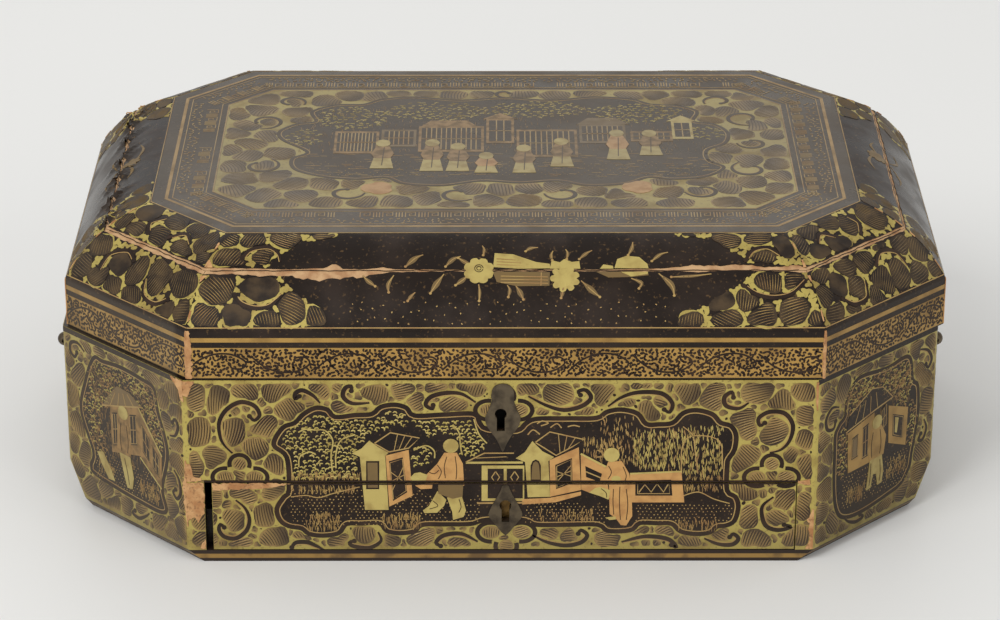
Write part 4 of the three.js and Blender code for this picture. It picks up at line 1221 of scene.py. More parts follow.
front_place = wall_face(0)
DRAWER_KEY_CUT = (DRAWER_KEY_X - 2.6, DRAWER_KEY_X + 2.6, 17, 28.6)
STILE_TOP = OPENING_TOP - 0.2
# Dark strips just above and below the drawer's top edge are painted shade of the gap between drawer and wall.
WALL_GAP_SHADE = [(-120, 36.2), (120, 36.2), (120, 36.8), (-120, 37)]
DRAWER_GAP_SHADE = [(-85, 35), (119.3, 35.2), (119.3, 35.6), (-85, 35.6)]
wall_windows = round_keyhole(-127, 127, OPENING_TOP + 0.1, 81.3, KEY_CUT) + [
    (-127, -OPENING_HALF - 0.1, 5.4, STILE_TOP), (OPENING_HALF + 0.1, 127, 5.4, STILE_TOP)]
drawer_windows = round_keyhole(DRAWER_LEFT + 0.2, DRAWER_RIGHT - 0.2, DRAWER_BOTTOM, DRAWER_TOP,
                               DRAWER_KEY_CUT)
for name, body, windows, painted_gap_shade in (("front", "case", wall_windows, WALL_GAP_SHADE),
                                       ("drawer", "drawer", drawer_windows, DRAWER_GAP_SHADE)):
    # Each of the two pieces also gets its strip of painted gap shade.
    gap_shade_paints = palette()
    plate(gap_shade_paints["dark"], painted_gap_shade, 0.6)
    lay_all(name, body, *[(front, front_place, window) for window in windows],
            (gap_shade_paints, front_place, None))

drawer_coat = block(
    "drawer_lacquer",
    (DRAWER_LEFT, -HALF_DEPTH - COAT, 5.45),
    (DRAWER_RIGHT, -HALF_DEPTH + COAT_BURIED, DRAWER_TOP),
)
pick(lambda edge: all(v.co.y < -(HALF_DEPTH + COAT / 2) * MM for v in edge.verts), "edges")
bpy.ops.mesh.bevel(offset=0.2 * MM, segments=2)
bpy.ops.object.mode_set(mode="OBJECT")
cut_through_front(drawer_coat, DRAWER_KEY_CUT)
settle(drawer_coat, gilded, "drawer")

# Corners of the case
# Each canted wall has a lobed garden of its own, with a pavilion and one robed figure, among duller leaves.
# The foot of each narrows towards the end, where the end wall slopes in.
CORNER_HALF = SIDE_HALF[1]
TOWARDS_END = {1: 1, 3: -1, 5: 1, 7: -1}
FIFTHS = (0.2, 0.4, 0.6, 0.8)
LEFT_CORNER_FRAME = [
    (-18.6, 73), (-24.7, 60.5), (-28.4, 46), (-21.7, 29.4), (-23.5, 22.2),
    (-19.8, 18.9), (7.2, 16.5), (23.8, 17.4), (22.5, 27.9), (26.7, 45.7),
    (21.4, 62.8), (19.5, 72), (12, 73.6), (-1.2, 74.6), (-12.7, 73.5),
]
RIGHT_CORNER_FRAME = [
    (19.3, 73.2), (22.6, 61.7), (26.3, 57.6), (27.2, 44.4), (24.3, 27.7), (22.3, 20.1), (12.7, 14),
    (-21.1, 14.4), (-26.3, 48.3), (-24.4, 56.2), (-20.5, 59.5), (-19.4, 67.1), (-12.6, 74), (5.3, 72.6),
]
LEFT_CORNER_SCROLLS = [
    [(-29.4, 72), (-31, 69.6), (-33.6, 71.6), (-33, 75.4), (-28.6, 76.6), (-24.4, 74)],
    [(31, 30.4), (29.4, 28.6), (31.6, 26.4), (34, 29.6), (33.4, 35.4), (30.4, 39)],
    [(30.6, 60.4), (32.4, 62.4), (34, 59.4), (32, 55), (28.6, 54)],
    [(4, 11), (2.4, 9.4), (6.4, 8.4), (10.6, 10.6), (13.4, 13)],
]
RIGHT_CORNER_SCROLLS = [
    [(-26.4, 59.4), (-27.6, 56.4), (-31.4, 57.2), (-32.4, 62), (-29, 66), (-24.6, 65)],
    [(31, 66), (32.6, 64), (34.6, 67.4), (32, 72), (27, 74)],
    [(30, 34.4), (28.6, 32), (31.4, 31.4), (33.4, 36), (31.6, 40.6)],
    [(-8, 10.4), (-6, 8.8), (-10.4, 8), (-15, 9.6), (-18, 12)],
]


def corner_outline(index):
    reach = CORNER_HALF - 1
    outline = [(-reach, 6.6), (reach - 8.1, 6.6), (reach, 20), (reach, 78.6), (-reach, 78.6)]
    return [(u * TOWARDS_END[index], v) for u, v in outline]


def framed_opening(paints, outline, lattice=True):
    """A dark opening with a light edge and a lattice in it."""
    plate(paints["black"], outline, MID + 0.03)
    inset = shrink(outline, 0.7)
    line(paints["light"], inset + inset[:1], 0.35)
    if lattice:
        a, b, c, d = inset
        line(paints["light"], [lerp(a, d, 0.5), lerp(b, c, 0.5)], 0.35)
        line(paints["light"], [lerp(a, b, 0.5), lerp(c, d, 0.5)], 0.35)


def dull_crowns(rng, paints, crowns):
    """Trees in duller gold than on the front."""
    dull = {"ground": paints["faded"], "pale": paints["ground"]}
    for crown in crowns:
        foliage(rng, dull, oval(*crown), 1.8)


def left_corner_garden(rng, paints):
    ground_dots(rng, paints["light"], -20, 20, 19, 32)
    dull_crowns(rng, paints, (
        ((-14, 62), 9, 10), ((2, 69), 15, 4.4), ((14.6, 65), 7, 8), ((-20, 48), 6.4, 9),
        ((19.4, 51), 5.4, 9), ((-17.6, 36), 6, 6)))
    grass(rng, paints["faded"], -22, 20, 28, 68, 420, 0.39)
    grass(rng, paints["light"], 8, 21, 18.5, 26, 80)
    grass(rng, paints["light"], -19, -8, 21, 26, 30)
    plate(paints["pale"], [(-19, 30.4), (-15, 31.6), (-10, 24.6), (-8, 20.4), (-12, 20), (-16, 25)], MID)
    plate(paints["leaf"], [(-14, 53.4), (-9, 60), (-4, 65.2), (4, 64.6), (11.4, 60.8), (-1.6, 57)], MID)
    rails(paints["light"], ((-14, 53.4), (11.4, 60.8)), ((-8, 61), (5, 64.4)), FIFTHS, 0.35, LINE_TOP)
    line(paints["light"], [(-14.4, 53.2), (-1.6, 56.8), (11.6, 60.8)], 0.6)
    plate(paints["faded"], [(-9, 54.4), (9.4, 59.8), (9.4, 38), (-9, 33.6)], MID)
    framed_opening(paints, [(-7.8, 37), (-4.6, 38), (-4.6, 53), (-7.8, 52)])
    framed_opening(paints, [(3.4, 41), (7.6, 42.2), (7.6, 56), (3.4, 54.8)])
    plate(paints["faded"], [(9.4, 59.4), (23, 42.4), (22.2, 27.8), (9.4, 38)], MID + 0.01)
    framed_opening(paints, [(11, 40.6), (15.6, 36.6), (15.8, 47.4), (11, 53)])
    framed_opening(paints, [(17, 35.4), (21, 32), (21.4, 41), (17, 46)])
    line(paints["pale"], [(9.4, 59.8), (23.2, 42.4)], 0.7)
    line(paints["pale"], [(9.2, 37.4), (22.2, 27.4)], 0.7)
    plate(paints["faded"], [(-3.2, 51.4), (2, 51.6), (4, 44), (3, 35), (-5.6, 35.2), (-5, 44)], MID + 0.05)
    plate(paints["pale"], [(-4.2, 35.2), (2.8, 35), (4.4, 26), (3.4, 20.6), (0, 20.2), (-1.6, 25)],
          MID + 0.05)
    folds(paints, ([(-2.4, 49), (-3.2, 42), (-2.6, 36.4)], [(1, 49), (1.8, 42), (1.2, 36.4)],
                   [(-1, 33.4), (0.6, 27), (1.4, 22)]), 0.53)
    head(paints, -0.7, 54.2)


def right_corner_garden(rng, paints):
    ground_dots(rng, paints["light"], -20, 22, 17, 31)
    dull_crowns(rng, paints, (
        ((-13, 66), 8, 7), ((4, 68.6), 14, 4.4), ((17, 61), 6.4, 10), ((-21.4, 43), 3.4, 12),
        ((22.8, 42), 3.4, 11), ((10.6, 62), 8, 6)))
    grass(rng, paints["faded"], -20, 21, 44, 68, 260, 0.39)
    grass(rng, paints["light"], -18, -6, 17, 23, 60)
    grass(rng, paints["light"], 8, 20, 20, 28, 60)
    plate(paints["black"], [(-19.4, 52), (-17.6, 59), (-4, 66.4), (3, 65), (10, 58), (-1.6, 56)], MID)
    line(paints["light"], [(-19.6, 51.8), (-1.6, 56), (10.2, 58.2)], 0.6)
    line(paints["light"], [(-17.6, 59), (-4, 66.4), (3, 65), (10, 58.2)], 0.5)
    rails(paints["light"], ((-18.6, 53), (5, 57)), ((-14, 61), (2, 64.6)), FIFTHS, 0.32, LINE_TOP)
    plate(paints["border"], [(-18.4, 51), (-1.7, 55), (-0.6, 33), (-17.3, 32.6)], MID)
    framed_opening(paints, [(-15.4, 38), (-11.4, 38.4), (-11.6, 48.8), (-15.6, 47.8)], False)
    plate(paints["leaf"], [(-14.6, 39), (-12.2, 39.2), (-12.4, 47.6), (-14.8, 47)], MID + 0.06)
    framed_opening(paints, [(-8.6, 36), (-4.8, 36.4), (-5, 51.4), (-8.8, 50.4)])
    framed_opening(paints, [(3, 44.6), (6.4, 46.4), (6.2, 57), (2.8, 54.4)])
    plate(paints["border"], [(7.4, 55), (20.4, 50), (19.8, 32.8), (8.4, 37.6)], MID + 0.01)
    framed_opening(paints, [(10.8, 40), (17.4, 37), (17.8, 47), (10.4, 50.2)], False)
    plate(paints["pale"], [(12, 48.2), (14.4, 47.2), (13.6, 40.6), (12.2, 41.2)], MID + 0.06)
    plate(paints["border"], [(-2.8, 47.6), (3.4, 47.8), (6.6, 42), (5.4, 33.8), (-3.6, 33.2), (-5, 39)],
          MID + 0.05)
    plate(paints["pale"], [(-3.4, 33.4), (4.4, 33.8), (5.8, 26), (5, 20.8), (2.2, 20.4), (1.2, 26),
                           (-0.8, 26.4), (-2.2, 20.6), (-5, 20.4), (-4.2, 27)], MID + 0.05)
    folds(paints, ([(-2, 46), (-2.8, 40), (-2.2, 34.6)], [(2.4, 46), (3.4, 40), (2.8, 34.8)],
                   [(3.2, 32), (3.8, 26), (3.4, 22)], [(-2.6, 32), (-2.6, 27), (-3.2, 22)]), 0.53)
    head(paints, 0.3, 50.1)


LEFT_CORNER = (LEFT_CORNER_FRAME, LEFT_CORNER_SCROLLS, left_corner_garden)
RIGHT_CORNER = (RIGHT_CORNER_FRAME, RIGHT_CORNER_SCROLLS, right_corner_garden)
corners = []
for index, seed, (marks, scrolls, garden) in (
        (7, 21, LEFT_CORNER), (1, 22, RIGHT_CORNER), (3, 23, LEFT_CORNER), (5, 24, RIGHT_CORNER)):
    corner, corner_rng, corner_room = framed_wall(seed, 40, corner_outline(index), marks, scrolls, 1.7, 1.3)
    garden(corner_rng, corner)
    leaves(corner_rng, corner_room, corner, spacing=10.8, gap=0.32, gilded_share=0.4)
    seeds(corner_rng, corner_room, corner["dark"], 200)
    plate(corner["black"], rectangle(-37.8, 37.8, 79.2, 81.4), 0.32)
    corners.append((corner, wall_face(index), None))
lay_all("corner", "case", *corners)

# Ends of the case
# The photograph hides them. They carry the same work: a small lobed garden between the two handle posts, with
# leaves all round it and on the slope at the foot.
END_FRAME = [
    (-30, 36), (-31.5, 44), (-29, 52), (-31, 60), (-27.5, 67), (-20, 69.4), (-14, 67.6), (-8, 70.6), (0, 72),
    (8, 70.6), (14, 67.6), (20, 69.4), (27.5, 67), (31, 60), (29, 52), (31.5, 44), (30, 36), (31, 30),
    (26, 25.6), (18, 24.4), (12, 26.4), (0, 25), (-12, 26.4), (-18, 24.4), (-26, 25.6), (-31, 30),
]
END_SCROLLS = [
    [(-60, 70), (-62, 67.6), (-65, 69.6), (-64, 74), (-58, 76), (-51, 73), (-48, 68)],
    [(-60, 30), (-62, 33), (-66, 31), (-66, 26.4), (-60, 23.6), (-52, 25.4), (-47, 30)],
    [(-52, 46), (-50, 43.4), (-46.4, 45), (-46, 50)],
]
POST_PLACES = (-38, 38)
POST_HEIGHT = 58.7
POST_CLEARANCE = 7.4
PAVILION_SHIFT = {2: 50, 6: 46}


def mirrored(marks):
    return [(-u, v) for u, v in marks]


end_scrolls = [side for marks in END_SCROLLS for side in (mirrored(marks), marks)]
end_field = rectangle(-74, 74, 6.4, 80.2)
ends = []
for index, seed in ((2, 31), (6, 32)):
    end, end_rng, end_room = framed_wall(seed, 76, end_field, END_FRAME, end_scrolls, 1.7, 1.4)
    end_room.block(rectangle(-76, 76, 19.6, 20.4))
    end_room.block_path([(across, POST_HEIGHT) for across in POST_PLACES], POST_CLEARANCE)
    ground_dots(end_rng, end["light"], -27, 27, 28, 38)
    for crown in (((-20, 56), 8, 9), ((19, 57), 8, 9), ((0, 67), 9, 3)):
        foliage(end_rng, end, oval(*crown))
    grass(end_rng, end["light"], -27, -6, 27.4, 33, 70)
    grass(end_rng, end["light"], 8, 27, 28, 34, 70)
    pavilion(end, *[moved(shape, PAVILION_SHIFT[index], 6) for shape in LEFT_PAVILION])
    leaves(end_rng, end_room, end, gilded_share=0.6)
    seeds(end_rng, end_room, end["dark"], 350)
    ends.append((end, wall_face(index), None))
lay_all("end", "case", *ends)

# Back of the case
# The photograph hides it too. Its garden has the front's outline the other way round, with two pavilions and
# a figure in other places, and no drawer crosses it.
back, back_rng, back_room = framed_wall(
    41, 127, LONG_FIELD, mirrored(FRONT_FRAME), [mirrored(marks) for marks in FRONT_SCROLLS])
for across in (-107, 107):
    trefoil(back_rng, back, (across, 39.6), 6.6, back_room)
for hinge_place in (-85, 85):
    back_room.block(rectangle(hinge_place - 19, hinge_place + 19, 78, 82))
ground_dots(back_rng, back["light"], -86, 86, 19, 31)
for left, right in ((-84, -66), (-48, -34), (20, 34), (66, 84)):
    grass(back_rng, back["light"], left, right, 17, 24, 80)
for crown in (((-70, 54), 14, 9), ((-33, 60), 8, 4), ((30, 58), 10, 5), ((2, 62), 10, 2)):
    foliage(back_rng, back, oval(*crown))
willow(back_rng, back["light"], 46, 88, 40, 62, 260)
for trunk in ([(-74, 38), (-73, 46), (-70, 54)], [(-66, 38), (-67, 46), (-64, 55)],
              [(60, 38), (61, 50), (66, 58)], [(78, 38), (77, 50), (73, 59)]):
    line(back["light"], flow(trunk), 0.45, 0.44)
for shapes in (LEFT_PAVILION, RIGHT_PAVILION):
    pavilion(back, *[moved(shape, 30) for shape in shapes])
plate(back["red"], rectangle(2, 36, 28, 37), MID - 0.02)
for left, right in ((5, 17), (20, 33)):
    framed_opening(back, rectangle(left, right, 29.6, 35.4))
walker(back, 10)
leaves(back_rng, back_room, back)
seeds(back_rng, back_room, back["dark"], 900)
lay_all("back", "case", (back, wall_face(4), None))

# Lacquer coat of the lid
# The rails and the top board under it have shrunk, so the coat has torn open along their joint all round and
# shows the peach undercoat. At the left end it has lifted in flaps. One skin covers band and lower cushion,
# and the other the upper cushion and the flat top.
LID_BOTTOM = 81.9
BAND_TOP = 102.7
CUSHION_RUN = 36
CUSHION_RISE = 28.1
CUSHION_SAG = 4.7
SEAM_SHARE = 0.55
LID_SHIFT = 2
LID_TOP = BAND_TOP + CUSHION_RISE
TURN_SHRINK = math.tan(math.radians(22.5))
CHORD = math.hypot(CUSHION_RUN, CUSHION_RISE)
ARC_RADIUS = (CHORD ** 2 / 4 + CUSHION_SAG ** 2) / (2 * CUSHION_SAG)
ARC_CENTRE = (
    CUSHION_RUN / 2 + CUSHION_RISE / CHORD * (ARC_RADIUS - CUSHION_SAG),
    BAND_TOP + CUSHION_RISE / 2 - CUSHION_RUN / CHORD * (ARC_RADIUS - CUSHION_SAG),
)
ARC_START = math.atan2(BAND_TOP - ARC_CENTRE[1], -ARC_CENTRE[0])
ARC_LENGTH = 2 * ARC_RADIUS * math.asin(CHORD / 2 / ARC_RADIUS)
SEAM = ARC_LENGTH * SEAM_SHARE
LEFT = 6


def arc(v, h):
    """Inset and height of the cushion, v along its curve from the band and h off the wood."""
    angle = ARC_START - v / ARC_RADIUS
    return polar(ARC_CENTRE, ARC_RADIUS + h, angle)


def ragged(index, u, seed):
    """A torn edge's wander, -1 to 1, the same for the same place."""
    x = u * 0.9 + index * 41.7 + seed * 17.3
    return (math.sin(x * 0.31) + 0.8 * math.sin(x * 0.83 + 1.3) + 0.6 * math.sin(x * 1.91 + 0.4)
            + 0.45 * math.sin(x * 4.3 + 2.2)) / 2.85


TEAR_PLACES = [-127, -112, -100, -88, -77, -73, -69, -60, -55, -52, -47, -30,
               30, 60, 72, 80, 90, 100, 112, 124]
TORN_BELOW = [1.6, 2, 2.6, 3.2, 4.2, 4.4, 4.2, 3, 1.8, 1.4, 0.9, 0.6, 0.5, 0.6, 0.4, 1, 0.4, 0.3, 0.5, 1]
TORN_ABOVE = [1.4, 1.1, 0.7, 0.7, 0.9, 3.2, 1, 0.5, 0.9, 1.5, 0.6, 0.4, 0.4, 0.6, 1.6, 2.2, 2.3, 2.4, 1.8, 2]
TORN_ELSEWHERE = {
    1: (1.1, 0.9), 2: (1.2, 1), 3: (0.8, 0.6), 4: (0.7, 0.5), 5: (0.9, 0.7), LEFT: (0.8, 0.6), 7: (1.8, 1),
}
FLAP_LIFT = 3.4
EDGE_LIFT = 0.25
FLAP_REACH = 12
COLUMN_PITCH = 1.7


def tear(index, u):
    """How far the coat has drawn back below and above the seam, in mm."""
    if index == 0:
        below, above = np.interp(u, TEAR_PLACES, TORN_BELOW), np.interp(u, TEAR_PLACES, TORN_ABOVE)
    else:
        below, above = TORN_ELSEWHERE[index]
    below = below * (1 + 0.35 * ragged(index, u, 1)) + 0.2 * ragged(index, u, 4)
    above = above * (1 + 0.4 * ragged(index, u, 2)) + 0.2 * ragged(index, u, 7)
    if index == LEFT:
        below += 1.6 * max(0.0, ragged(index, u, 5))
        above += 1.8 * max(0.0, ragged(index, u, 6))
    return max(0.15, float(below)), max(0.1, float(above))


def lifted(index, u, v):
    """How far the coat stands off the wood beyond its own thickness, in mm."""
    amount = FLAP_LIFT if index == LEFT else EDGE_LIFT
    nearness = max(0.0, 1 - abs(v - SEAM) / FLAP_REACH) ** 1.6
    return amount * max(0.0, ragged(index, u + 0.6 * v, 3)) * nearness


def cushion_face(index):
    out, across, middle, _ = side_frame(index)

    def place(u, v, h):
        inset, z = arc(v, h + lifted(index, u, v)) if v >= 0 else (-h, BAND_TOP + v)
        return (
            (middle[0] + across[0] * u - out[0] * inset + LID_SHIFT) * MM,
            (middle[1] + across[1] * u - out[1] * inset) * MM,
            z * MM,
        )

    return place


def half_length(index, v):
    """Half the length of a side of the lid, v along the curve."""
    return side_frame(index)[3] - arc(v, 0)[0] * TURN_SHRINK


def lid_coat(name, rows, flat_top):
    """rows gives the height along the curve of each row of points at a side and a place along it."""
    columns = []
    for index in range(8):
        count = round(2 * side_frame(index)[3] / COLUMN_PITCH)
        columns += [(index, -1 + 2 * k / count) for k in range(count)]
    faces_of = [cushion_face(index) for index in range(8)]
    points = []
    height = len(rows(0, 0))
    for h in (COAT, -COAT_BURIED):
        for row in range(height):
            for index, share in columns:
                v = rows(index, side_frame(index)[3] * share)[row]
                # At a mitre the two sides' curves meet, so an end point lies on the line between them.
                u = share * (half_length(index, max(v, 0)) + h * TURN_SHRINK)
                points.append(faces_of[index](u, v, h))
    total = len(columns)
    inner = height * total
    top = (height - 1) * total
    pairs = [(c, (c + 1) % total) for c in range(total)]
    faces = []
    for row in range(0, top, total):
        for c, d in pairs:
            a, b, e, f = row + c, row + d, row + total + d, row + total + c
            faces += [(a, b, e, f), (f + inner, e + inner, b + inner, a + inner)]
    for c, d in pairs:
        faces.append((d, c, c + inner, d + inner))
        if not flat_top:
            faces.append((c + top, d + top, d + top + inner, c + top + inner))
    if flat_top:
        faces.append([c + top for c in range(total)])
        faces.append([c + top + inner for c in reversed(range(total))])
    mesh = bpy.data.meshes.new(name)
    mesh.from_pydata(points, [], faces)
    mesh.validate()
    made = bpy.data.objects.new(name, mesh)
    scene.collection.objects.link(made)
    settle(made, black_finish, "lid")


def lower_rows(index, u):
    edge = SEAM - tear(index, u)[0]
    return [LID_BOTTOM + 0.2 - BAND_TOP, -10, -0.6] + [edge * k / 11 for k in range(12)]


def upper_rows(index, u):
    edge = SEAM + tear(index, u)[1]
    return [edge + (ARC_LENGTH - edge) * k / 10 for k in range(11)]


lid_coat("lid_lower_lacquer", lower_rows, False)
lid_coat("lid_upper_lacquer", upper_rows, True)

# Band and cushion of the lid
# Dark scrollwork on gold runs round the band under a gold line. Above it the cushion is black with dark
# leaves on a gold web at its corners, and sprays of flowers lie across the seam in the middle of the front.
BAND_LOW = -20.1
BAND_HIGH = -6.9
STEM_CELL = 1.1
STEM = [(0, -3.2), (0.2, 1.4), (0.45, 3.9), (0.72, 3.6), (0.92, 0.4), (0.86, -2.4), (0.7, -2.2), (0.68, 0)]
CUSHION_TOP = 0.4


def dabs(rng, paint, low, high, spacing, length, width, top, test=None):
    """Small curved strokes, spaced evenly but in every direction."""
    taken = {}
    for _ in range(int(7 * (high[0] - low[0]) * (high[1] - low[1]) / spacing ** 2)):
        u, v = rng.uniform(low[0], high[0]), rng.uniform(low[1], high[1])
        column, level = int(u // spacing), int(v // spacing)
        cells = [(column + a, level + b) for a in (-1, 0, 1) for b in (-1, 0, 1)]
        crowded = any(math.dist(taken[c], (u, v)) < spacing * 0.8 for c in cells if c in taken)
        if crowded or (column, level) in taken or (test and not test(u, v)):
            continue
        taken[column, level] = (u, v)
        turn = rng.uniform(0, 2 * math.pi)
        bend = rng.uniform(-1.4, 1.4)
        reach = rng.uniform(0.7, 1.2) * length / 2
        row = [polar((u, v), reach * t, turn + bend * t * 0.5) for t in [-1 + 2 * k / 3 for k in range(4)]]
        row = [(a, min(max(b, low[1] - 0.3), high[1] + 0.3)) for a, b in row]
        fat = width * rng.uniform(0.75, 1.25)
        band(paint, row, lambda t: fat * (0.35 + 0.9 * math.sin(math.pi * (0.1 + 0.8 * t))), top)


def scrollwork(rng, paints, half):
    plate(paints["border"], rectangle(-half + 0.2, half - 0.2, BAND_LOW, BAND_HIGH), 0.3)
    middle = (BAND_LOW + BAND_HIGH) / 2
    count = max(2, round(2 * half / 25.4))
    pitch = 2 * half / count
    stems = []
    for k in range(count):
        start = -half + k * pitch
        side = 1 if k % 2 == 0 else -1
        path = flow([(start + a * pitch, middle + side * b) for a, b in STEM])
        band(paints["dark"], path, 0.75, SCROLL_TOP)
        stems += path
    spots = {(u // STEM_CELL, v // STEM_CELL) for u, v in stems}

    def clear(u, v):
        return (u // STEM_CELL, v // STEM_CELL) not in spots

    dabs(rng, paints["dark"], (-half + 0.8, BAND_LOW + 0.9), (half - 0.8, BAND_HIGH - 0.8), 1.45, 1.75,
         0.85, 0.36, clear)


DARK_FIELD = [
    (-70.7, 0), (-71.8, 8), (-77.7, 12), (-83.6, 15), (-89.7, 22), (-95.7, 25), (-93.9, 32), (-86.2, 36),
    (-82.4, 40), (-68.7, 43), (-65.8, 47.5), (66.5, 47.5), (69.3, 44), (83, 42), (86.9, 38), (95.5, 32),
    (100.2, 25), (92.3, 18), (82.3, 13), (78.3, 9), (68.5, 6), (66.9, 0),
]
END_FIELD = [(-48, 0), (-50, 8), (-46, 16), (-52, 24), (-47, 33), (-40, 38), (-38, 47.5), (38, 47.5),
             (40, 38), (47, 33), (52, 24), (46, 16), (50, 8), (48, 0)]
CUSHION_SCROLLS = {
    0: [[(-107.9, 15.1), (-105.5, 11.5), (-100, 9.4), (-94, 10.2), (-88.9, 15)],
        [(-105.3, 31.5), (-102, 36), (-95, 37.2), (-91, 34), (-90, 29.8)],
        [(94.8, 18.7), (100, 15), (107, 13.6), (114, 15.4), (119.4, 21)],
        [(96, 30.4), (99, 35.6), (105, 37), (110, 33)]],
    1: [[(-22, 9), (-17, 5), (-9, 5.6), (-6, 12)], [(4, 16), (10, 20.6), (18, 18), (20, 11)],
        [(-4, 34), (-10, 38.4), (-15, 34.6)], [(8, 31), (12, 36), (10, 41)]],
    7: [[(22, 9), (16, 5), (8, 6.4), (5, 13)], [(-6, 18), (-12, 20.8), (-20, 16.6), (-21, 9)],
        [(2, 33), (8, 37.6), (14, 34)], [(-9, 31), (-13, 36), (-8, 41)]],
}


def corner_field(index):
    """Outline of one side of the cushion inside its mitres."""
    heights = [2.4, 8, 14, 20, 26, 32, 38, 44.8]
    right = [(half_length(index, v) - 0.7, v) for v in heights]
    return right + [(-u, v) for u, v in reversed(right)]


BRIGHT_LEAVES = {"gap": 0.34, "under": 1.5, "veins": "light"}
DIM_LEAVES = {"gap": 0.18, "under": 0.9, "veins": "leaf"}
cushions = []
for index in range(8):
    cushion = palette()
    cushion_rng = random.Random(60 + index)
    half = side_frame(index)[3]
    scrollwork(cushion_rng, cushion, half)
    plate(cushion["border"], rectangle(-half, half, -4.5, -2.6), FIELD_TOP)
    for v in (1.5, 45.8):
        reach = half_length(index, v)
        line(cushion["light"], [(-reach, v), (reach, v)], 0.4, FRAME_TOP)
    joint_marks = [(u, SEAM + 0.5 * ragged(index, u, 8)) for u in np.arange(-half + 9, half - 9, 2.5)]
    band(cushion["dark"], joint_marks, 0.3, 0.05, base=-0.15)
    cushion_room = Room(-half - 1, half + 1, 1, 47)
    cushion_room.keep_in(corner_field(index))
    places = list(np.arange(-half, half + 1, 2.0))
    cushion_room.block([(u, SEAM - tear(index, u)[0] - 0.9) for u in places]
                       + [(u, SEAM + tear(index, u)[1] + 0.9) for u in reversed(places)])
    cushion_room.block({0: DARK_FIELD, 2: END_FIELD}.get(index % 4, []))
    for marks in CUSHION_SCROLLS.get(index, []):
        scroll(cushion, marks, 1.3, cushion_room, 0.44)
    bright = index in (0, 4)
    leaves(cushion_rng, cushion_room, cushion, spacing=11.8, largest=9.4, pitch=1.12, top=0.42, kind="night",
           gilded_share=0.9, small=False, **(BRIGHT_LEAVES if bright else DIM_LEAVES))
    if bright:
        dabs(cushion_rng, cushion["light"], (-64, 3), (64, 12), 3.6, 0.7, 0.35, 0.34,
             lambda u, v: random.Random(int(u * 97 + v * 31)).random() < 0.35)
    cushions.append((cushion, cushion_face(index), None))


def petals(rng, paint, u, v, radius, count, jag, top):
    outline = []
    for k in range(count * 5):
        angle = 2 * math.pi * k / (count * 5)
        dip = abs(math.sin(angle * count / 2)) ** 0.5
        reach = radius * (1 - jag + jag * dip)
        outline.append((u + reach * math.cos(angle) * rng.uniform(0.97, 1.03),
                        v + reach * math.sin(angle) * rng.uniform(0.97, 1.03)))
    pad(paint, outline, top, (u, v), 0.02)


